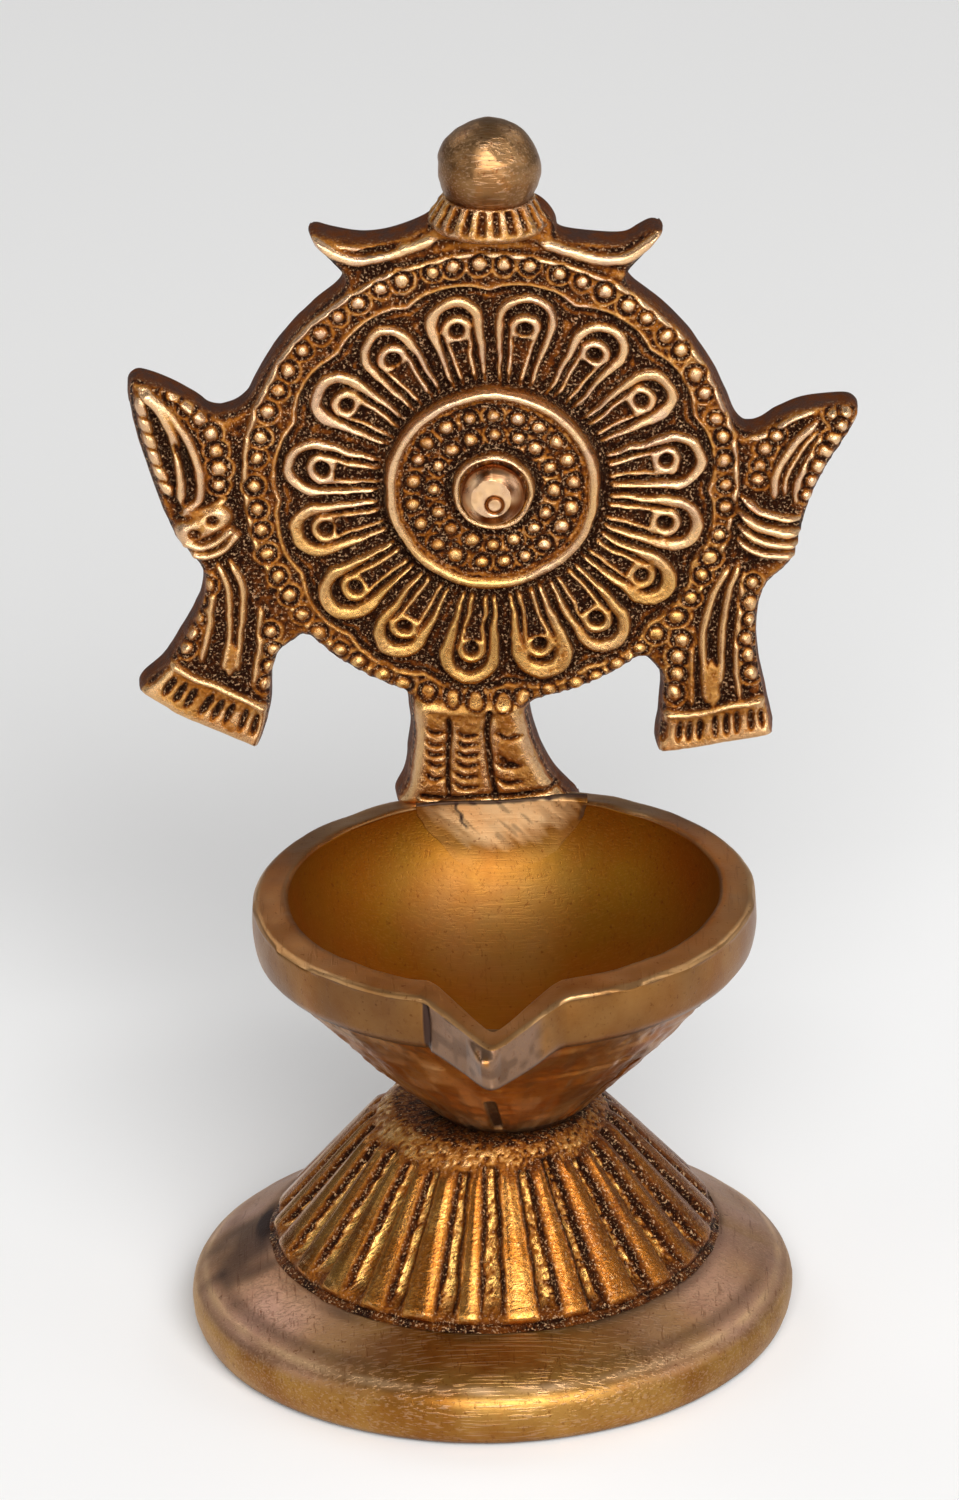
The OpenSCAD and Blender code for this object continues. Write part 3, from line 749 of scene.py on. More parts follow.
def add_right_sash(f):
    f.stroke([(30, 6), (32.3, 6.6), (34.9, 8.3), (37.1, 9.4), (39.6, 10)], 0.34, 0.95, 1)
    f.stroke([(32.9, -1.5), (33.2, 1.9), (35, 5.1), (37.6, 8)], 0.5, 1.3, 1)
    f.stroke([(34.1, -1.2), (34.4, 1.6), (36, 4.6), (38, 7)], 0.32, 1.2, 1)
    f.stroke([(35.4, -2), (35.7, 0.9), (37.4, 4.2), (38.8, 6.6)], 0.42, 1.25, 1)
    f.stroke([(30.2, 0.4), (30.7, 3.6), (32.5, 6)], 0.3, 0.8, 0.6)
    f.stroke([(31.9, -0.8), (32.3, 2.4), (34, 6)], 0.3, 0.85, 1)
    f.bead_line([(33.6, 6.8), (31.9, 4.8), (31.4, 2.4), (31.1, -0.2)], 2.0, 0.72, 0.8, 9)
    f.bead_line([(40.6, 8.4), (39.2, 5.2), (37.7, 2), (36.9, -0.8), (36.4, -2.6)], 1.9, 0.8, 0.85, 10)
    for at in ((39.6, 8.9), (41, 9.2), (40.4, 7.6)):
        f.bead(at, 0.75, 0.9, 0.15)
    # Knot: four diagonal folds.
    for k, (half, height) in enumerate(((0.42, 1.7), (0.62, 2.2), (0.55, 2.1), (0.5, 1.8))):
        drop = 1.75 * k
        fold = [(29.2 - 0.1 * k, -1.2 - drop), (31.2, -2.7 - drop), (33.6, -3.6 - drop * 0.9),
                (35.9, -3.9 - drop * 0.85)]
        f.stroke(fold, half, height, 1.4)
    # Tail
    f.stroke([(27.9, -10), (26.2, -13.4), (25.3, -16.9), (25.2, -20.9), (25.7, -27)], 0.42, 1.15, 1)
    f.stroke([(29.1, -9.8), (28, -13.1), (27.4, -17.4), (27.2, -24.8)], 0.4, 1.2, 1)
    f.stroke([(26.2, -22), (26.3, -25), (26.5, -27.4)], 0.85, 1.1, 1)
    f.stroke([(29.8, -10.6), (29.5, -13.9), (29.1, -18.5), (29, -23.1), (29.6, -26.6)], 0.34, 1.1, 1)
    f.stroke([(24, -17.6), (23.9, -21), (24, -24.4), (24.1, -27.6)], 0.3, 0.8, 0.8)
    f.bead_line([(31, -11.3), (30.6, -14), (30.3, -18.3), (30.5, -21), (31.1, -25.6)], 2.25, 0.82, 0.9, 12)
    f.bead_line([(22.9, -18.6), (22.4, -22.1), (22.2, -24.7), (22, -27.3)], 2.2, 0.84, 0.85, 13)


def add_hem(f, top, bottom):
    """Fringe band: a raised strip whose lower part is cut by nine short grooves."""
    lift = outline_distance(f.wu, f.wv, np.array(top + bottom[::-1], float))
    f.h = np.where(lift < 0.3, np.maximum(f.h, 0.95 * fall(-0.2, 0.3, lift)), f.h)
    f.stroke(top, 0.36, 1.35, 0.3)
    a, b = spline(top, 10), spline(bottom, 10)
    for k in range(9):
        i = int((k + 0.5) / 9 * (len(a) - 1))
        f.stroke([a[i] + (b[i] - a[i]) * t for t in (0.22, 0.72)], 0.34, 0.85, 0.7, 0.26, cut=True)


def add_crest(f):
    """Crest: a ledge along the wheel's top, and a curl on each side of the collar."""
    ledge = [(-10.9, 27.7), (-5.6, 28.9), (0.4, 29.4), (4.9, 29.1), (10.2, 27.8), (15.3, 25.6)]
    f.stroke(ledge, 0.55, 0.5, soft=0.5)
    curl = [(-20, 30.2), (-18.4, 28.8), (-15.6, 27.7), (-12.6, 27.9), (-9.4, 29.2), (-6, 30.2)]
    f.stroke(curl, 0.62, 1.35, 1)
    f.stroke([(-19.2, 30.3), (-16.5, 29.2), (-13.1, 29.2), (-9.8, 30.2), (-7.2, 31.2)], 0.3, 0.9, 0.8)
    f.stroke([(-15, 28.6), (-12.8, 28.6), (-10.6, 29.2)], 0.24, 0.7, 1, cut=True)
    f.stroke([(5.6, 30), (8.6, 28.9), (12.2, 27.9), (15.4, 28), (17.6, 29.4), (19, 31)], 0.62, 1.3, 1)
    f.stroke([(7, 30.1), (10.9, 29.4), (14.3, 29.3), (16.8, 30)], 0.3, 0.9, 0.8)
    f.stroke([(17.2, 30.6), (17.9, 31.3), (18.9, 31.3), (19, 30.6), (18, 30)], 0.3, 1.2)
    for side in (-1, 1):
        f.stroke([(side * 6.8 - 0.6, 30.4), (side * 3 - 0.6, 30.6)], 0.5, 0.5, soft=0.4)


def add_neck(f):
    """Neck: a smooth raised foot with two upright lines and three columns of crescents."""
    neck = outline_distance(f.u, f.v, spline(NECK, 5, closed=True))
    lift = 2.0 * smooth(0.2, -1.9, neck) * smooth(-25.6, -27.6, f.v)
    f.h = np.where(lift > 0, np.maximum(f.h * smooth(-28, -26, f.v), lift), f.h)
    f.stroke([(-7.2, -27.6), (-2.6, -28), (2.2, -27.6)], 0.5, 0.35, 1, 0.4, base=1.75)
    for points, half in (
        ([(-4.1, -29.1), (-4.25, -33.6), (-4.05, -38.4)], 0.26),
        ([(0.5, -28), (0.3, -30.7), (0.8, -35.4), (1.4, -39.2)], 0.34),
        ([(-7.2, -38.6), (-4.2, -38.9), (-0.2, -38.7), (4.4, -38.3), (9.2, -37.3)], 0.3),
    ):
        f.stroke(points, half, 0.95, soft=0.16, cut=True)
    for u, half_w, heights in (
        (-5.7, 1.1, (-30.6, -32.1, -33.4, -34.7, -36.3)),
        (-2, 1.3, (-30.8, -32, -33.3, -34.6, -36.1, -37.5)),
        (2.9, 1.5, (-31, -34.8, -36.7)),
    ):
        for v in heights:
            crescent = [(u - half_w, v + 0.55), (u - half_w * 0.5, v), (u, v - 0.12), (u + half_w, v + 0.15)]
            f.stroke(crescent, 0.2, 0.6, 0.7, 0.16, cut=True)
    f.stroke([(1.7, -33.4), (2.6, -34.4), (3.6, -34.7)], 0.36, 0.6, 0.5, cut=True)


def plaque_heights(step):
    """The whole relief, the signed distances to its front and back edges, and its wear and tint."""
    f = Relief((-43.5, -42.5), (44.5, 36.5), step)
    f.h += 0.10 * noise(f.u, f.v, 5, 31)
    add_left_sash(f)
    add_right_sash(f)
    from_centre = np.hypot(f.u, f.v)
    for field in (f.h, f.rubbed, f.sooty):
        field[from_centre < WHEEL_R - 0.8] = 0
    add_wheel(f)
    add_hub(f)
    add_crest(f)
    add_hem(f, [(-37.2, -22.2), (-33.2, -24.3), (-29, -26.4), (-25.4, -28.2)],
            [(-40.2, -25.9), (-36, -28.9), (-31.5, -31), (-26.5, -33.2)])
    add_hem(f, [(20.7, -28.5), (24.8, -28.3), (28.8, -27.4), (32.6, -26.6)],
            [(20.2, -33.4), (24.6, -32.9), (29, -32.1), (33.6, -31.2)])
    add_neck(f)
    back = plaque_outline(f.u, f.v)
    front = plaque_outline(f.u - 0.12, f.v + DRAFT_DOWN) + DRAFT_IN
    for axis in (0, 1):
        f.h = (np.roll(f.h, 1, axis) + 4 * f.h + np.roll(f.h, -1, axis)) / 6
    # The edge of the face is worn round.
    f.h -= 0.75 * smooth(-0.75, 0.05, front) ** 2
    rough = noise(f.u, f.v, 0.55, 41) * 0.6 + noise(f.u, f.v, 0.3, 42) * 0.4
    low = fall(-0.1, 0.35, f.h - blur(f.h, 0.9 / step))
    f.h += rough * (0.035 + 0.20 * low)
    fine = f.h - blur(f.h, 0.45 / step)
    broad = f.h - blur(f.h, 1.5 / step)
    crest = np.clip(0.27 + 0.78 * fine + 0.50 * broad, 0.03, 1)
    crest = crest * (1 - 0.85 * f.sooty)
    smooth_neck = smooth(-27.2, -28.6, f.v) * smooth(0, 0.5, f.h)
    raise_to(crest, smooth_neck * np.clip(0.50 + 1.3 * fine, 0, 1) * (1 - 0.9 * f.sooty))
    worn_zone = 0.72 + 0.18 * noise(f.u, f.v, 6, 43)
    raise_to(crest, f.rubbed * (1 - f.sooty) * np.clip(worn_zone + 0.6 * fine + 0.2 * rough, 0, 1))
    gold = np.clip(smooth(8, -24, f.v) + 0.45 * noise(f.u, f.v, 7, 44), 0, 0.9)
    return f, front, back, crest, gold * (1 - 0.5 * smooth(27, 30, from_centre))


def clipped_grid(f, sdf):
    """Triangles over the cells where sdf is negative, cut clean at its zero line."""
    step = f.step
    gu, gv = np.gradient(sdf, step)
    length = np.maximum(np.hypot(gu, gv), 1e-6)
    u, v, s = f.u.copy(), f.v.copy(), sdf.copy()
    near = np.abs(s) < 0.3 * step
    u[near] -= (s * gu / length**2)[near]
    v[near] -= (s * gv / length**2)[near]
    s[near] = 0
    inside = s <= 0
    index = np.full(s.shape, -1)
    index[inside] = np.arange(inside.sum())
    points = [np.stack([u[inside], v[inside]], -1)]
    count = int(inside.sum())
    corners = np.array([index[:-1, :-1], index[1:, :-1], index[1:, 1:], index[:-1, 1:]])
    whole = (corners >= 0).all(0)
    # Each square is split along its flatter diagonal, so that ridges keep clean edges.
    flip = (np.abs(f.h[:-1, :-1] - f.h[1:, 1:]) < np.abs(f.h[1:, :-1] - f.h[:-1, 1:]))[whole]
    quad = corners[:, whole]
    halves = ([0, 1, 2], flip), ([0, 2, 3], flip), ([0, 1, 3], ~flip), ([1, 2, 3], ~flip)
    tris = [quad[half].T[chosen] for half, chosen in halves]
    extra, cuts, cut_at = [], [], {}
    for i, j in zip(*np.nonzero(~whole & (corners >= 0).any(0))):
        loop = []
        ring = [(i, j), (i + 1, j), (i + 1, j + 1), (i, j + 1)]
        for a, b in zip(ring, ring[1:] + ring[:1]):
            if index[a] >= 0:
                loop.append(index[a])
            if s[a] * s[b] < 0:
                key = (min(a, b), max(a, b))
                if key not in cut_at:
                    p, q = key
                    t = s[p] / (s[p] - s[q])
                    extra.append([u[p] * (1 - t) + u[q] * t, v[p] * (1 - t) + v[q] * t])
                    cut_at[key] = count
                    count += 1
                loop.append(cut_at[key])
        cuts += [(loop[0], loop[k], loop[k + 1]) for k in range(1, len(loop) - 1)]
    return np.vstack([*points, np.array(extra)]), np.vstack([*tris, np.array(cuts)])


def sample(f, field, at):
    """Bilinear reading of a field at loose points."""
    x = np.clip((at[:, 0] - f.us[0]) / f.step, 0, len(f.us) - 1.001)
    y = np.clip((at[:, 1] - f.vs[0]) / f.step, 0, len(f.vs) - 1.001)
    i, j = x.astype(int), y.astype(int)
    a, b = x - i, y - j
    low = field[i, j] * (1 - a) + field[i + 1, j] * a
    high = field[i, j + 1] * (1 - a) + field[i + 1, j + 1] * a
    return low * (1 - b) + high * b


def edge_loop(tris):
    """The longest closed loop of edges that only one triangle uses, in the triangles' own direction."""
    edges = np.vstack([tris[:, [0, 1]], tris[:, [1, 2]], tris[:, [2, 0]]])
    _, first, counts = np.unique(np.sort(edges, 1), axis=0, return_index=True, return_counts=True)
    follow = {int(a): int(b) for a, b in edges[first[counts == 1]]}
    loops = []
    while follow:
        loop, at = [], next(iter(follow))
        while at in follow:
            loop.append(at)
            at = follow.pop(at)
        loops.append(loop)
    return np.array(max(loops, key=len))


def to_world(u, v, h):
    u, v, h = (np.ravel(x) for x in (u, v, h))
    return WHEEL[None] * [1, 0, 1] + np.outer(u, RIGHT) + np.outer(v, UP) + np.outer(FRONT_Y - h, [0, 1, 0])


def build_plaque(material):
    """The cast plaque: a fine height field in front, drafted rough sides and a plain back."""
    step = 0.215
    f, front, back, crest, gold = plaque_heights(step)
    points, tris = clipped_grid(f, front)
    loop = edge_loop(tris)
    h = sample(f, f.h, points)
    verts = [to_world(*points.T, h)]
    crests, sides, golds = [sample(f, crest, points)], [np.zeros(len(points))], [sample(f, gold, points)]
    edge, edge_h = points[loop], h[loop]
    # The outline of the back: the front's edge moved out to where the back's distance is zero.
    gradient = np.gradient(back, step)
    target = edge.copy()
    for _ in range(3):
        d = sample(f, back, target)
        n = np.stack([sample(f, g, target) for g in gradient], -1)
        n /= np.maximum(np.hypot(*n.T), 1e-6)[:, None]
        target -= n * d[:, None]
    for _ in range(4):
        target = (np.roll(target, 1, 0) + 2 * target + np.roll(target, -1, 0)) / 4
    row, faces = loop, [tris]
    run = np.arange(len(edge)) * step
    count = len(points)
    for t in (0.12, 0.35, 0.6, 0.85, 1.0):
        wall = 0.07 * noise(run, np.full(len(edge), 9 * t), 1.6, 51) * (t < 1)
        at = edge + (target - edge) * t**0.7
        at = at + n * (wall - 0.25 * smooth(0.8, 1, t))[:, None]
        verts.append(to_world(*at.T, edge_h + (-PLATE_T - edge_h) * t))
        crests.append(np.full(len(edge), 0.3 if t < 0.2 else 0.2))
        sides.append(np.full(len(edge), smooth(0.0, 0.3, t) - 0.4 * (t == 1)))
        above, row = row, np.arange(count, count + len(edge))
        count += len(edge)
        faces.append(np.stack([np.roll(above, -1), above, row], -1))
        faces.append(np.stack([np.roll(above, -1), row, np.roll(row, -1)], -1))
    inner, back_tris = fill_back(at)
    dent = 0.16 * noise(*inner.T, 7, 61) + 0.05 * noise(*inner.T, 1.4, 62)
    inset = np.abs(dent) * smooth(0.3, 2.5, -sample(f, back, inner))
    verts.append(to_world(*inner.T, -PLATE_T + inset))
    rub = 0.42 + 0.22 * noise(*inner.T, 11, 63) + 0.5 * inset
    crests.append(np.clip(rub, 0.1, 0.9))
    sides.append(np.clip(0.45 - 0.8 * (rub - 0.42), 0.1, 0.8))
    faces.append(np.concatenate([row, np.arange(count, count + len(inner))])[back_tris][:, ::-1])
    golds.append(np.full(count + len(inner) - len(points), 0.4))
    wear_and_light = {"crest": np.concatenate(crests), "side": np.concatenate(sides), "gold": np.concatenate(golds)}
    return make_mesh("chakra_plaque_casting", np.vstack(verts), np.vstack(faces), material, wear_and_light)


def fill_back(loop, spacing=1.3):
    """Loose points inside a loop, and triangles over the loop's points followed by them."""
    us, vs = (np.arange(loop[:, i].min(), loop[:, i].max(), spacing) for i in (0, 1))
    u, v = (g.ravel() for g in np.meshgrid(us, vs))
    keep = outline_distance(u, v, loop[::4]) < -0.9
    inner = np.stack([u[keep], v[keep]], -1)
    points = np.vstack([loop, inner])
    n = len(loop)
    edges = [(i, (i + 1) % n) for i in range(n)]
    out = delaunay_2d_cdt([Vector(p) for p in points], edges, [list(range(n))], 1, 1e-7)
    nearest = [int(np.argmin(np.hypot(*(points - p).T))) for p in np.array(out[0])]
    return inner, np.array([[nearest[i] for i in t] for t in out[2]])


def build_collar(material):
    """Ribbed half-round collar under the ball."""
    columns, ribs = 240, 22
    profile = resample(rounded([
        (0.4, COLLAR_LOW), (6.2, COLLAR_LOW), (6.95, COLLAR_LOW + 0.7), (6.75, COLLAR_LOW + 1.5),
        (6.2, COLLAR_LOW + 2.2), (5.7, COLLAR_TOP - 0.7), (5.2, COLLAR_TOP), (0.4, COLLAR_TOP),
    ], [0, 0.4, 0.4, 0.4, 0.4, 0.3, 0.3, 0]), 0.22)
    a, r, v = rings(profile, columns)
    wave = 0.5 + 0.5 * np.cos(ribs * a + 0.35 * noise(a * 6, v * 0, 1.1, 71))
    cut = smooth(COLLAR_LOW + 0.9, COLLAR_LOW + 1.5, v) * smooth(COLLAR_TOP - 0.1, COLLAR_TOP - 0.5, v)
    groove = fall(0.2, 0.75, wave) * cut * (r > 4)
    r = r - 0.6 * groove + 0.05 * noise(a * 9, v, 0.8, 72)
    crest = np.where(r > 4, 0.72 - 0.62 * groove, 0.3) + 0.1 * noise(a * 12, v * 2, 1, 73)
    crest = np.clip(crest * np.where(v < COLLAR_LOW + 0.35, 0.4, 1), 0, 1)
    h = np.maximum(-PLATE_T / 2 + r * np.cos(a), -PLATE_T + 0.02)
    verts = to_world(float((BALL_AT - WHEEL) @ RIGHT) + r * np.sin(a), v, h)
    return make_mesh("crest_collar", verts, ring_faces(len(profile), columns), material, {"crest": crest})


def build_ball(material):
    """The finial: a hand-filed ball, not quite round, with two filed flats."""
    rows, columns, pole = 96, 144, 0.001
    a, polar = rings(np.linspace(pole, math.pi - pole, rows), columns)
    x, y, z = np.sin(polar) * np.cos(a), np.sin(polar) * np.sin(a), np.cos(polar)
    lumps = 0.030 * noise(x * 1.6 + 9, z * 2 + y, 0.9, 81) + 0.008 * noise(x * 6, z * 6 + y * 5, 1, 82)
    r = BALL_R * (1.01 + lumps)
    r = np.minimum(r, BALL_R * 0.96 / np.maximum(np.abs(0.30 * x - 0.75 * y + 0.59 * z), 0.001))
    r = np.minimum(r, BALL_R * 0.97 / np.maximum(0.55 * x - 0.80 * y - 0.25 * z, 0.001))
    r = r * (1 - 0.03 * smooth(0.7, 1, z))
    verts = BALL_AT + np.stack([r * x, r * y, r * z], -1).reshape(-1, 3)
    # Darker towards the bottom and in a band just above the middle.
    stain_and_shade = 0.3 * smooth(0.1, -0.8, z) + 0.5 * smooth(-0.72, -0.95, z)
    stain_and_shade = np.clip(stain_and_shade + 0.25 * bump(0.25, 0.12, z + 0.05 * noise(a, z, 0.5, 83)), 0, 1)
    faces = ring_faces(rows, columns, flip=True)
    return make_mesh("finial_ball_filed", verts, faces, material, {"stain_and_shade": stain_and_shade})


def build_button(material):
    """The hub's button: a low dome with a filed flat and a ring punched in it, a shank and a peened tail."""
    columns, dome_r, dome_h, base_h, shank_r = 120, 3.7, 2.7, 2.9, 1.5
    a, t = rings(np.linspace(0, 1, 60), columns)
    r = dome_r * np.sin(t * math.pi / 2) * (1 + 0.015 * noise(a * 2, t, 1, 91))
    h = base_h + dome_h * np.sqrt(np.clip(1 - (r / 3.78) ** 2.6, 0, 1))
    u, v = r * np.sin(a), r * np.cos(a)
    flat = base_h + 2.32 + 0.05 * u - 0.03 * v
    on_flat = (h > flat) & (np.hypot(u + 0.05, v + 0.35) < 2.9 + 0.35 * noise(a * 3, t * 0, 1, 93))
    h = np.where(on_flat, flat, h)
    mark = np.abs(np.hypot(u - 0.2, v + 0.65) - 0.95)
    h = h - 0.28 * fall(0.1, 0.3, mark) + 0.03 * noise(u, v, 0.7, 92)
    crest = 0.95 - 0.75 * fall(0.1, 0.32, mark) - 0.45 * smooth(0.93, 1.0, r / dome_r)
    crest -= (0.50 + 0.2 * noise(a * 2, t * 3, 1, 94)) * (~on_flat)
    lower_a, lower_r, lower_h = rings([
        (dome_r, 2.2), (shank_r, 2.2), (shank_r, -PLATE_T), (2.6, -PLATE_T), (2.5, -PLATE_T - 0.6),
        (1.6, -PLATE_T - 0.95), (0.02, -PLATE_T - 1),
    ], columns)
    u, v = (np.vstack([dome, lower_r * wave(lower_a)]) for dome, wave in ((u, np.sin), (v, np.cos)))
    h, crest = np.vstack([h, lower_h]), np.vstack([crest, 0.5 + 0 * lower_r])
    faces = ring_faces(len(h), columns, flip=True)
    return make_mesh("hub_button", to_world(HUB[0] + u, HUB[1] + v, h), faces, material, {"crest": crest})


# ---------------------------------------------------------------- bowl


def spout_share(phi, half, power):
    """How far an edge is drawn out round the spout: 1 at its middle, 0 beyond half degrees from it."""
    t = np.sqrt((phi / math.radians(half)) ** 2 + 0.004) - 0.063
    return np.clip(1 - t, 0, 1) ** power


def build_bowl(material):
    """Bowl with a flat rim drawn out into a filed spout, a plain band and a conical body."""
    # Angles from the spout's middle, closer together near the spout.
    t = np.linspace(-1, 1, 460, endpoint=False)
    phi = math.pi * (0.22 * t + 0.78 * t**3)
    turn = phi - math.pi / 2 - SPOUT_TURN
    rows, wear_and_light = [], {"stain_and_shade": [], "tone": [], "copper_and_highlight": []}

    def row(r, z, stain_and_shade, tone, copper_and_highlight):
        rows.append(around(BOWL_X, turn, r, z + 0 * phi))
        for key, value in (("stain_and_shade", stain_and_shade), ("tone", tone), ("copper_and_highlight", copper_and_highlight)):
            wear_and_light[key].append(np.clip(value, 0, 1) + 0 * phi)

    def wave(turns, level, seed, size=1, shift=0):
        return noise(phi * turns + shift, level + 0 * phi, size, seed)

    inner_reach, rim_reach, band_reach, body_reach = 7.4, 6.8, 8.3, 8.2
    inner_f = spout_share(phi, 16.6, 1.6)
    outer_f = spout_share(phi, 15.4, 1.45)
    nose = np.clip(1 - np.abs(np.degrees(phi) + 1.8) / 3.4, 0, 1)
    edge_wave = 0.14 * wave(5, 0, 103, shift=40)
    rim_wave = 0.10 * wave(7, 3, 104, shift=60)
    dip = 2.1 * inner_f**0.7
    # Oil hollow, from its floor up, with the channel cut into the front wall.
    for t in 0.995 * np.linspace(1, 0.06, 70) ** 1.5:
        swell = 1 + 0.001 * wave(3, t * 2, 101, shift=20)
        depth = HOLLOW_DEPTH * math.sin(t * math.pi / 2)
        r = HOLLOW_R * math.cos(t * math.pi / 2) * swell + inner_reach * inner_f * smooth(6.2, 3.2, depth)
        valley = 0.95 * inner_f**0.5 * smooth(7.5, 5, depth) * smooth(0.4, 1.2, depth)
        # Painted highlight: a faint glow in the filler colour on the back of the hollow's wall.
        glow = 0.09 * smooth(0.75, 0.15, np.abs(np.abs(phi - 0.15) - math.pi)) * bump(0.5, 0.45, t)
        row(r, RIM_Z - depth - dip * smooth(8, 0, depth), valley, 0.0, glow)
    rim_in = HOLLOW_R + inner_reach * inner_f + edge_wave
    rim_out = BOWL_R - 0.1 + rim_reach * outer_f + 0.6 * edge_wave
    top = RIM_Z - dip + rim_wave
    for t in np.linspace(0, 1, 10):
        rounding = 0.3 * fall(0, 0.14, t) + 0.32 * smooth(0.86, 1, t) ** 2
        z = top - 0.6 * t - rounding + 0.035 * wave(24, t * 3, 107)
        rubbed = 0.14 + 0.14 * wave(6, t * 2, 100) + 0.06 * smooth(0.8, 1, t)
        row(rim_in + (rim_out - rim_in) * t, z, 0.5 * (t == 0), 0.66, rubbed)
    # Band. The filed faces end sharply on the left and fade into the band on the right.
    band_low = RIM_Z - 7.0 + 0.25 * rim_wave - 0.25 * outer_f
    low_r = BOWL_R - 0.55 + band_reach * outer_f
    facet = np.where(phi < 0, smooth(0, 0.05, outer_f), smooth(0, 0.45, outer_f))
    crease = 0.35 * bump(0.02, 0.035, outer_f) * ((phi < 0) & (outer_f > 0.002))
    for t in np.linspace(0, 1, 16):
        bulge = (0.28 * math.sin(math.pi * t) - 0.45 * smooth(0.8, 1, t) ** 2) * (1 - facet)
        beak = 1.9 * nose * smooth(0, 0.2, t) * (1 - 0.8 * smooth(0.2, 1, t))
        hollow = 0.35 * math.sin(math.pi * t) * facet * (1 - nose)
        r = rim_out + (low_r - rim_out) * t + bulge + beak - crease - hollow + 0.05 * wave(9, t * 2, 110)
        glint = 0.25 * bump(0.75, 0.3, nose) * bump(0.22, 0.2, t)
        dull = (0.26 + 0.16 * smooth(1.3, -0.2, phi)) * (1 - facet) * (1 + 0.5 * wave(7, t, 99))
        dull = dull + 0.4 * facet * smooth(0.0, 0.5, wave(30, t * 5, 97)) * smooth(0.0, 0.5, t)
        stain_and_shade = dull + 0.6 * (t > 0.97) + 0.9 * (crease > 0.12)
        row(r, top - 0.95 + (band_low - top + 0.95) * t, stain_and_shade, 0.56 + 0.44 * facet - glint, 0.0)
    # Conical body, cut by dark notches near its foot: angle, lean, where it starts and half width.
    body_r, foot_r = 26.6, 9.3
    notches = ((-0.09, 0.0, 0.62, 0.62), (0.74, 0.30, 0.45, 0.40), (-0.95, -0.1, 0.7, 0.35),
               (1.7, 0.1, 0.7, 0.5), (-1.8, 0.0, 0.66, 0.5), (2.6, 0.1, 0.7, 0.5), (-2.7, 0.0, 0.68, 0.5))
    body_top = band_low - 0.4
    for t in np.linspace(0, 1, 60):
        r = body_r + (foot_r - body_r) * t + 0.55 * math.sin(math.pi * t)
        r = r + body_reach * outer_f * smooth(0.30, 0.0, t)
        notch = np.zeros(len(phi))
        for at, lean, start, half in notches:
            off = np.abs(phi - at - lean * (1 - t)) * r
            ends = smooth(start - 0.02, start + 0.02, t) * smooth(0.985, 0.96, t)
            raise_to(notch, fall(half - 0.2, half + 0.2, off) * ends)
        scar = 0.21 * wave(11, t * 6, 106, 0.7) + 0.05 * wave(26, t * 20, 116, 0.8)
        scar = scar + 0.14 * wave(3, t * 30, 108)
        ragged = smooth(0.2, 0.5, 0.5 + 0.5 * wave(8, t * 4, 117))
        fringe = smooth(0.0, 0.06, t) * smooth(0.22, 0.1, t) * ragged
        torn = wave(40, t * 30, 118)
        r = r - 0.6 * notch + scar * smooth(0.02, 0.1, t) + 0.12 * fringe * torn
        blotch = 0.45 * smooth(0.1, 0.8, wave(6, t * 5, 109))
        raise_to(blotch, 0.5 * fringe * smooth(0.0, 0.5, torn))
        stain_and_shade = notch + 0.6 * (t < 0.02) + 0.9 * smooth(0.97, 1, t) + blotch
        # Painted shade: the body darker away from its front.
        stain_and_shade = stain_and_shade + 0.22 * smooth(0.3, 1.2, np.abs(phi))
        # Painted highlight: lighter patches in the filler colour, only on the body's front.
        front_highlight = 0.26 * smooth(0.0, 0.5, wave(9, t * 8, 98)) + 0.16 * smooth(0.5, 0.9, t)
        z = body_top + (BOWL_FOOT_Z + 0.5 - body_top) * t
        row(r, z, stain_and_shade, 0.3, front_highlight * smooth(1.1, 0.3, np.abs(phi + 0.1)))
    row(foot_r - 0.35, BOWL_FOOT_Z + 0.02, 0.9, 0.3, 0.0)
    row(0.05, BOWL_FOOT_Z + 0.02, 0.5, 0.3, 0.0)
    values = {key: np.concatenate(value) for key, value in wear_and_light.items()}
    return make_mesh("oil_bowl_spouted", np.vstack(rows), ring_faces(len(rows), len(phi)), material, values)


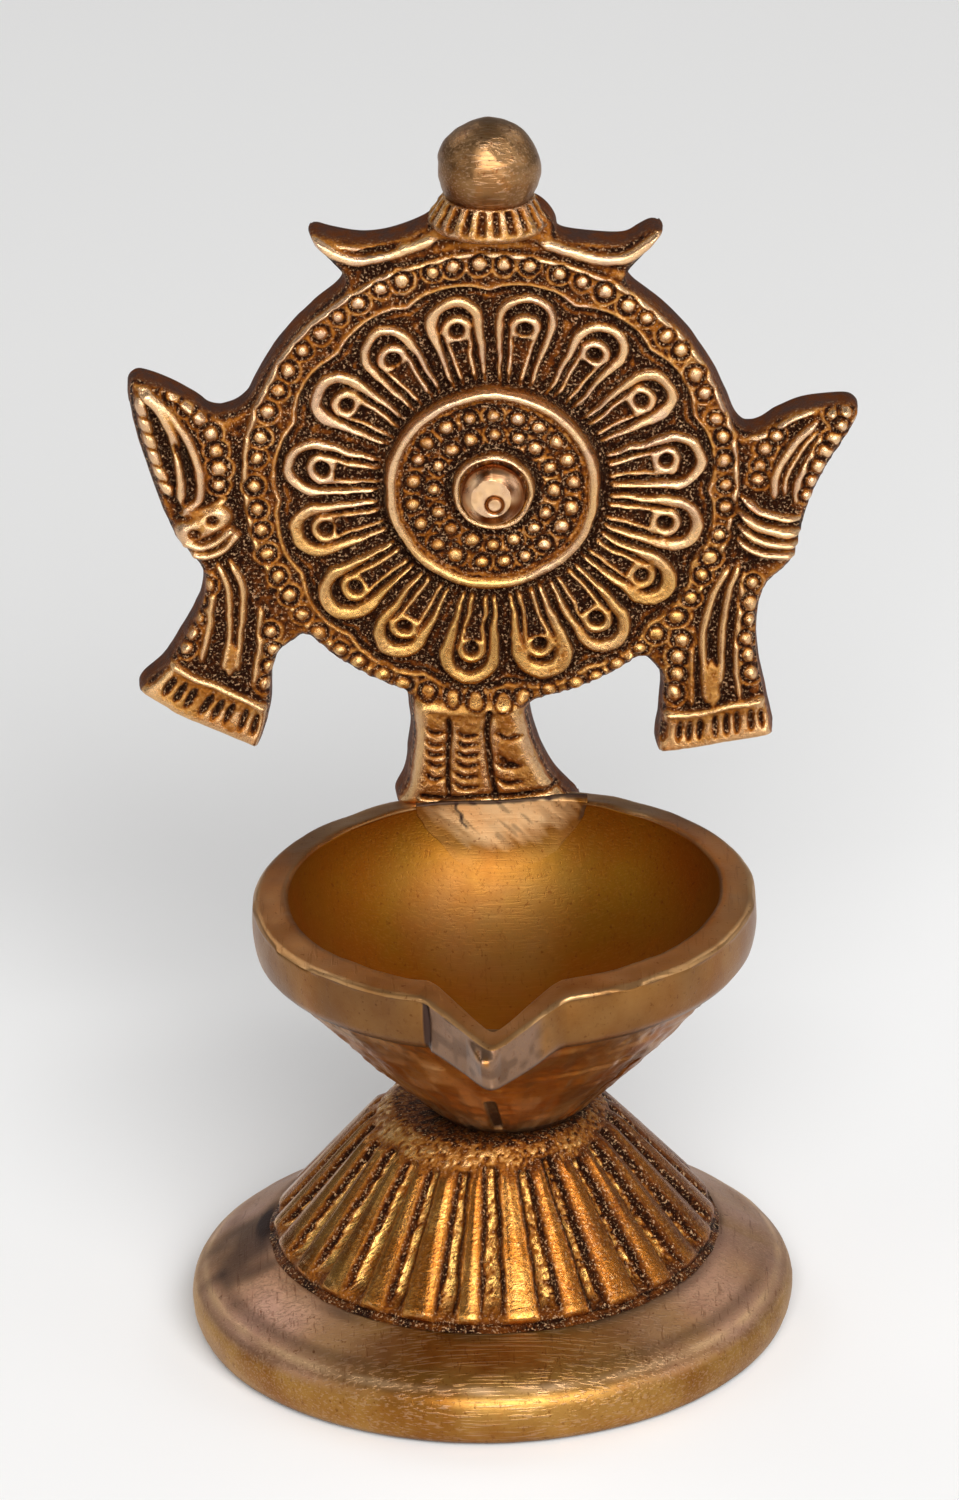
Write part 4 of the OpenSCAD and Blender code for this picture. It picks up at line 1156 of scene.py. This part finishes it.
def build_neck_braze(material):
    """Filler that runs from the neck's foot over the rim and feathers out on the bowl's inner wall."""
    rows, columns = 80, 120
    across, down = np.meshgrid(np.linspace(-1, 1, columns), np.linspace(0, 1, rows))
    ragged = 0.35 * noise(down * 5, across * 2, 1, 111) * smooth(0.1, 0.4, down)
    top_half, narrowing, top_below_hub = 10.0, 3.2, 39.1
    side_drop, middle_drop, patch_drop, fillet = 4.2, 4.6, 7.2, 2.1
    x = BOWL_X + 0.1 + across * (top_half - narrowing * down**2) + ragged
    from_middle = x - BOWL_X
    top_z = WHEEL[2] - top_below_hub + 1.0 * smooth(-0.2, 1, across) - 0.035 * from_middle
    low_z = RIM_Z - side_drop - middle_drop * np.sqrt(np.clip(1 - (across * 0.98) ** 2, 0, 1))
    low_z = low_z + 0.5 * noise(across * 5, across, 1, 112)
    z = top_z + (low_z - top_z) * down
    # The hollow's wall, carried on above the rim, and the neck's front blend into one surface.
    depth = np.clip((RIM_Z - np.minimum(z, RIM_Z)) / HOLLOW_DEPTH, 0, 1)
    wall = np.sqrt(np.maximum((HOLLOW_R * np.sqrt(1 - depth**2)) ** 2 - from_middle**2, 0))
    wall = wall + 2.6 * np.maximum(z - RIM_Z, 0)
    surface = join_smoothly(wall, FRONT_Y - 1.95, fillet)
    side = np.minimum((1 - np.abs(across)) * 10, (1 - down) * 9)
    thick = 0.17 * smooth(0.0, 6.5, side) - 0.02
    thick += 0.03 * noise(x * 0.5, z * 0.5, 1, 113) * smooth(0.3, 1.2, side)
    verts = np.vstack([np.stack([x, y, z], -1).reshape(-1, 3) for y in (surface - thick, surface + 0.35)])
    base = rows * columns
    front = [(i, i + 1, i + columns + 1, i + columns) for i in range(base - columns) if (i + 1) % columns]
    faces = [tuple(reversed(q)) for q in front] + [tuple(base + i for i in q) for q in front]
    rim = list(range(columns)) + [i * columns + columns - 1 for i in range(1, rows)]
    rim += list(range(base - 2, base - columns - 1, -1)) + [i * columns for i in range(rows - 2, 0, -1)]
    faces += [(a, b, base + b, base + a) for a, b in zip(rim, rim[1:] + rim[:1])]
    reach = (across / 1.02) ** 2 + (np.maximum(RIM_Z + 0.5 - z, 0) / patch_drop) ** 2
    streaks = 0.20 * noise(x * 0.8 + z * 0.8, (x - z) * 0.16, 0.6, 96)
    copper_and_highlight = 0.85 * smooth(1.0, 0.2, reach + 0.16 * noise(x, z, 2.6, 114) + streaks)
    crack = np.abs(from_middle + 5.3 - 0.35 * (RIM_Z - z) + 0.3 * noise(z, z * 0, 0.8, 115))
    crack = fall(0.1, 0.3, crack) * smooth(RIM_Z - 3.6, RIM_Z - 3.0, z)
    corner = smooth(0.5, 0.1, np.abs(1 - across) * 10 - 0.3)
    corner = corner * smooth(0.05, 0.15, down) * smooth(0.5, 0.4, down)
    seam = smooth(0.055, 0.02, down + 0.012 * noise(x, z, 0.8, 119))
    cuts = smooth(0.3, 0.5, noise(x * 0.9 + z * 0.9, (x - z) * 0.12, 0.5, 120)) * copper_and_highlight
    stain_and_shade = np.clip(0.9 * crack + 0.8 * corner + 0.95 * seam + 0.5 * cuts, 0, 1)
    # Every point of the patch gets at least a faint filler tint, a painted highlight matching the one on the
    # hollow's wall.
    wear_and_light = {"stain_and_shade": np.tile(stain_and_shade.ravel(), 2), "copper_and_highlight": np.tile(np.maximum(copper_and_highlight, 0.05).ravel(), 2)}
    return make_mesh("neck_braze_patch", verts, faces, material, wear_and_light)


# ---------------------------------------------------------------- foot and pedestal


def build_pedestal(material):
    """Fluted cone: raised ribs with rough narrow grooves, a plain shoulder and a hollow inside."""
    rib_h, bore_r, hollow_top_r = 0.95, 3.1, 8.9
    top_z = bowl_lo[2]
    shoulder_z = top_z - 1.5
    roof_z = top_z - 4.2
    base_z = LAND_Z + 0.6
    outside = resample(rounded([
        (8.6, top_z - 0.1), (CONE_TOP_R - 1.6, top_z - 0.1), (CONE_TOP_R - 0.3, top_z - 0.7),
        (CONE_TOP_R + 0.6, shoulder_z), (CONE_FOOT_R - 0.1, base_z), (CONE_FOOT_R - 0.4, LAND_Z),
    ], [0, 0.5, 0.6, 0.5, 0.4, 0]), 0.3)
    inside = resample([
        (OPENING_R + 0.2, LAND_Z), (OPENING_R + 0.2, LAND_Z + 1.4), (hollow_top_r, roof_z),
        (bore_r, roof_z), (bore_r, top_z - 0.1),
    ], 1.5)
    profile = np.vstack([outside, inside])
    columns = FLUTES * 24
    a, r, z = rings(profile, columns)
    rng = np.random.default_rng(121)
    shift = rng.uniform(-0.16, 0.16, FLUTES)
    length = rng.uniform(-0.5, 0.7, FLUTES)
    width = rng.uniform(0.8, 1.25, FLUTES)
    cell = a / math.tau * FLUTES
    k = np.floor(cell).astype(int) % FLUTES
    off = np.abs(cell - np.floor(cell) - 0.5 - shift[k] * 0.5) * (math.tau * r / FLUTES)
    x, y = r * np.cos(a), r * np.sin(a)
    wander = 0.17 * noise(a * 30, z, 1.1, 122)
    top_end = shoulder_z - 0.9 - length[k] * 0.8
    low_end = base_z + 1.1 + length[(k + 7) % FLUTES] * 0.6
    start = smooth(top_end + 0.5, top_end - 0.6, z)
    run = start * smooth(low_end - 0.5, low_end + 0.6, z)
    half = (0.58 + 0.46 * (top_end - z) / 12) * width[k] * (1 - 0.15 * np.cos(a))
    groove = fall(half - 0.22, half + 0.36, off + wander) * run
    floor = fall(half - 0.42, half - 0.12, off + wander) * run
    # Painted shade along the edges of each groove.
    edge = bump(0, 0.27, off + wander - half + 0.02) * run
    outer = np.arange(len(profile))[:, None] < len(outside)
    rib = rib_h * np.sqrt(smooth(0.3, 2.6, off)) * start * smooth(base_z - 0.3, base_z + 1.0, z)
    rough = 0.13 * noise(x + 40, y + z + 40, 0.42, 123) + 0.09 * noise(x - z + 60, y + 60, 0.25, 124)
    shoulder = smooth(top_end + 0.1, top_end + 0.9, z)
    skirt = smooth(low_end + 0.6, low_end - 0.3, z)
    r = r + np.where(outer, rib - rib_h * groove + rough * (0.12 + 1.2 * shoulder + 1.5 * groove), 0)
    # Painted light and shade in the ribs' colour: rib middles lighter, partly polish and partly a painted
    # highlight; painted shade on the right side, lighter on the left; groove floors lighter, partly their
    # rough finish and partly painted light, stronger on the left.
    middle = smooth(half + 0.1, half + 0.75, off)
    shade = 0.04 + 0.15 * smooth(0.05, 0.55, np.cos(a)) - 0.06 * smooth(-0.4, -0.9, np.cos(a))
    lit = 0.40 + 0.16 * smooth(0.2, -0.7, np.cos(a))
    crest = 0.34 + 0.24 * middle * run - shade - 0.46 * edge + lit * floor + 0.24 * shoulder
    crest = crest + 0.24 * middle * skirt + rough * (0.3 + 3.6 * floor + 2.4 * shoulder)
    for start, end in ((base_z + 0.4, base_z - 0.3), (top_z - 0.7, top_z - 0.15)):
        crest = crest - 0.35 * smooth(start, end, z)
    wear_and_light = {
        "crest": np.where(outer, np.clip(crest, 0.03, 1), 0.35),
        "polish": np.where(outer, middle * np.maximum(run, skirt), 0),
        "gold": np.where(outer, np.clip(0.35 + 0.65 * floor + 0.3 * shoulder, 0, 1), 0.5),
    }
    faces = ring_faces(len(profile), columns, "joined", flip=True)
    return make_mesh("pedestal_fluted", around(CONE_X, a, r, z), faces, material, wear_and_light)


def build_pedestal_braze(material):
    """Thin run of filler in the crease under the pedestal."""
    low_z = LAND_Z - 0.02
    profile = rounded([
        (CONE_FOOT_R - 0.5, low_z), (CONE_FOOT_R + 0.75, low_z), (CONE_FOOT_R + 0.3, LAND_Z + 0.2),
        (CONE_FOOT_R - 0.1, LAND_Z + 0.62),
    ], [0, 0.1, 0.3, 0])

    def uneven(a, r, z):
        lump = 0.12 * noise(a * 14, z * 0, 1, 131)
        return r + lump * (r > CONE_FOOT_R), z + lump * (z > LAND_Z + 0.1)

    def crest(a, r, z):
        return 0.14 + 0.16 * noise(a * 20, z, 1, 132)

    return turned("pedestal_braze_run", profile, material, 300, CONE_X, uneven, {"crest": crest})


def build_foot(material):
    """Foot disc: sloping brushed top, a crease, a bulging edge and an open underside."""
    crease = FOOT_R - 1.7
    under_z = 2.2
    profile = resample(rounded([
        (OPENING_R, under_z), (OPENING_R, LAND_Z), (CONE_FOOT_R + 0.4, LAND_Z), (crease - 1.2, 7.0),
        (crease, 6.2), (FOOT_R - 0.5, 5.2), (FOOT_R, 3.8), (FOOT_R - 0.15, 2.0), (FOOT_R - 0.7, 0.6),
        (crease, 0.0), (FOOT_R - 5, 0.0), (FOOT_R - 6, under_z), (OPENING_R, under_z),
    ], [0, 0.2, 0.5, 0.8, 0.25, 0.8, 0.8, 0.8, 0.6, 0.4, 0.4, 0.4, 0]), 0.4)

    def hand(a, r, z):
        # The disc was dressed by hand: thicker in front than behind, and not quite round.
        outer = smooth(25.8, 32, r)
        high = smooth(1.5, 5.5, z)
        tilt = -0.85 * np.sin(a) - 0.1 * np.cos(a) - 0.15
        wave = 0.10 * noise(a * 3, z * 0, 1, 141) * outer + 0.03 * noise(a * 16, z * 2, 1, 142) * outer
        sag = 0.08 * noise(r * 0.4 * np.cos(a), r * 0.4 * np.sin(a), 2, 143) * high * (r > 26)
        return np.minimum(r + wave - 0.1 * outer, FOOT_R), z + (tilt * outer + sag) * high

    def stains_and_shade(a, r, z):
        x, y = r * np.cos(a), r * np.sin(a)
        seam = 0.85 * bump(CONE_FOOT_R + 0.9, 1.5, r) * (0.55 + 0.45 * noise(a * 5, r * 0, 1, 144))
        patch = 0.80 * smooth(6.5, 1.5, np.hypot(x + 28.5, (y + 1) * 0.55) + 1.5 * noise(x, y, 2.5, 145))
        # Painted shade: a dark band just inside the crease, on the front of the top, though not straight in
        # front.
        front = smooth(-0.2, 0.5, -np.sin(a)) * (1 - bump(4.72, 0.6, a))
        on_top = (seam + patch + 0.45 * bump(crease - 1.6, 1.4, r) * front) * (z > 5)
        under = 0.5 * (z < under_z + 0.1) * (r < FOOT_R - 1.2)
        # Painted shade: the edge darker towards its bottom and on the right side.
        low_edge = 0.35 * smooth(1.4, 0.3, z) + 0.18 * smooth(0.3, 0.9, np.cos(a)) * (z < 4.8)
        return np.clip(on_top + under + low_edge, 0, 1)

    def rosy(a, r, z):
        # Painted pink reflection on the left and right sides of the top.
        sides = smooth(0.25, 0.85, np.abs(np.cos(a))) * (0.7 + 0.3 * noise(a * 6, r * 0.2, 1, 146))
        return np.clip(sides * smooth(4.6, 6, z), 0, 1)

    def wear_and_light(a, r, z):
        # The crease's ring is paler: partly wear, partly a painted highlight.
        return bump(crease, 0.7, r) * (z > 5) * (0.6 + 0.4 * noise(a * 12, r * 0, 1, 147))

    fields = {"stain_and_shade": stains_and_shade, "side_reflection": rosy, "wear_and_light": wear_and_light}
    return turned("foot_disc_brushed", profile[:-1], material, 320, 0, hand, fields)


# ---------------------------------------------------------------- fasteners


def build_stud(material):
    """M6 stud with a real thread of 1 mm pitch."""
    columns, rows_per_turn = 48, 8
    thread_r, thread_depth = 2.98, 0.55
    low, high = stud_lo[2], stud_hi[2]
    rows = int((high - low) * rows_per_turn)
    a, z = rings(np.linspace(low, high, rows), columns)
    tooth = np.abs(((z - a / math.tau) % 1) - 0.5) * 2
    ends = smooth(low, low + 0.8, z) * smooth(high, high - 0.4, z)
    r = thread_r - thread_depth * tooth - 0.4 * (1 - ends)
    return make_mesh("bowl_stud_threaded", around(BOWL_X, a, r, z), ring_faces(rows, columns), material)


def build_nut(material):
    """Hexagon nut with chamfered corners."""
    columns, bore_r = 96, 3.08
    low, high = nut_lo[2], nut_hi[2]
    flat = (nut_hi[1] - nut_lo[1]) / 2
    corner = flat / math.cos(math.pi / 6) + 0.1
    levels = np.array([
        (bore_r, low + 0.3), (3.6, low), (flat * 0.93, low), (flat * 0.97, low + 0.05), (corner, low + 0.55),
        (corner, high - 0.55), (flat * 0.97, high - 0.05), (flat * 0.93, high), (bore_r, high),
    ])
    a, limit, z = rings(levels, columns)
    hexagon = flat / np.cos((a % (math.pi / 3)) - math.pi / 6)
    verts = around(BOWL_X, a, np.minimum(hexagon, limit), z)
    faces = ring_faces(len(levels), columns, "joined")
    return make_mesh("stud_nut_chamfered", verts, faces, material, smooth_shading=False)


def build_washer(material):
    """Flat washer with broken edges."""
    low, high = washer_lo[2], washer_hi[2]
    radius, bore_r = (washer_hi[1] - washer_lo[1]) / 2, 3.2
    profile = rounded([
        (bore_r, low + 0.1), (bore_r, high), (radius - 0.15, high), (radius, high - 0.2),
        (radius, low + 0.2), (radius - 0.15, low), (bore_r + 0.2, low), (bore_r, low + 0.1),
    ], 0.1)
    return turned("stud_washer_flat", profile[:-1], material, 96, BOWL_X)


# ---------------------------------------------------------------- assembly


relief = relief_brass()
hardware = machined_brass()
bowl_metal = bowl_brass()
foot_brass = turned_brass("foot_brass", (0, 0, 0.75), (0.44, 0.238, 0.060), (0.27, 0.108, 0.018), 0.27)
ball_brass = turned_brass("ball_brass", (0, 0, 0), (0.30, 0.165, 0.070), (0.18, 0.075, 0.022), 0.20)

for piece, node, slot in (
    (build_foot(foot_brass), "foot_disc", "turned_brass"),
    (build_pedestal(relief), "fluted_pedestal", "antique_brass"),
    (build_pedestal_braze(relief), "pedestal_braze", "braze_metal"),
    (build_bowl(bowl_metal), "oil_bowl", "turned_brass"),
    (build_neck_braze(bowl_metal), "neck_braze", "braze_metal"),
    (build_plaque(relief), "chakra_plaque", "antique_brass"),
    (build_collar(relief), "chakra_plaque", "antique_brass"),
    (build_button(bright_brass()), "hub_rivet", "polished_brass"),
    (build_ball(ball_brass), "finial_ball", "antique_brass"),
    (build_stud(hardware), "bowl_stud", "plain_brass"),
    (build_nut(hardware), "stud_nut", "plain_brass"),
    (build_washer(hardware), "stud_washer", "plain_brass"),
):
    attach(piece, "root")
    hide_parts(node)


# ---------------------------------------------------------------- stage, light and camera


def build_floor():
    """A large pale floor."""
    n = Nodes("pale_floor")
    tone = n.noise(3, 2, 0.5)
    colour = n.mix(tone, (0.88, 0.88, 0.88), (0.92, 0.92, 0.915))
    material = n.finish(colour, 0.85, 0.0, n.bump(tone, 0.02, 0.0001))
    half = 4000
    corners = [(-half, -half, 0), (half, -half, 0), (half, half, 0), (-half, half, 0)]
    make_mesh("floor", corners, [(0, 1, 2, 3)], material)


LIT_HEIGHT = 70


def soft_light(name, at, size, power):
    """A rectangular light at a place in millimetres, aimed at the middle of the lamp."""
    light = bpy.data.lights.new(name, "AREA")
    light.shape = "RECTANGLE"
    light.size, light.size_y = (s * MM for s in size)
    light.energy = power
    lamp = bpy.data.objects.new(name, light)
    place = Vector(at) * MM
    aim = Vector((0, 0, LIT_HEIGHT)) * MM - place
    lamp.matrix_world = Matrix.Translation(place) @ aim.to_track_quat("-Z", "Y").to_matrix().to_4x4()
    bpy.context.scene.collection.objects.link(lamp)


def build_camera():
    """Camera at the height and tilt of a tabletop product shot, with a slight roll."""
    height = cad_box[1][2] - cad_box[0][2]
    target = np.array([0.18 * MM, 0, cad_box[0][2] + 0.52 * height])
    elevation, roll, distance = math.radians(24.42), math.radians(1.56), 0.9
    back = np.array([0, -math.cos(elevation), math.sin(elevation)])
    right = np.array([1.0, 0, 0])
    up = np.cross(back, right)
    tilted_right = right * math.cos(roll) - up * math.sin(roll)
    tilted_up = right * math.sin(roll) + up * math.cos(roll)
    data = bpy.data.cameras.new("camera")
    data.sensor_width = 36
    data.lens = 191.2
    data.clip_end = 20
    camera = bpy.data.objects.new("camera", data)
    rotation = Matrix((tilted_right, tilted_up, back)).transposed().to_4x4()
    camera.matrix_world = Matrix.Translation(Vector(target + back * distance)) @ rotation
    bpy.context.scene.collection.objects.link(camera)
    bpy.context.scene.camera = camera


build_floor()
for light in (
    ("key", (260, -1350, 920), (1400, 1000), 38),
    ("fill", (-1200, -500, 500), (700, 900), 2),
    ("side", (1250, -300, 600), (700, 900), 3),
    ("back_left", (-900, 1000, 1100), (900, 700), 3.5),
    ("back_right", (1000, 900, 1100), (900, 700), 3),
):
    soft_light(*light)
world = bpy.data.worlds.new("studio")
world.use_nodes = True
background = world.node_tree.nodes["Background"]
background.inputs["Color"].default_value = (1, 0.99, 0.98, 1)
background.inputs["Strength"].default_value = 0.20
bpy.context.scene.world = world
bpy.context.scene.view_settings.view_transform = "Standard"
build_camera()
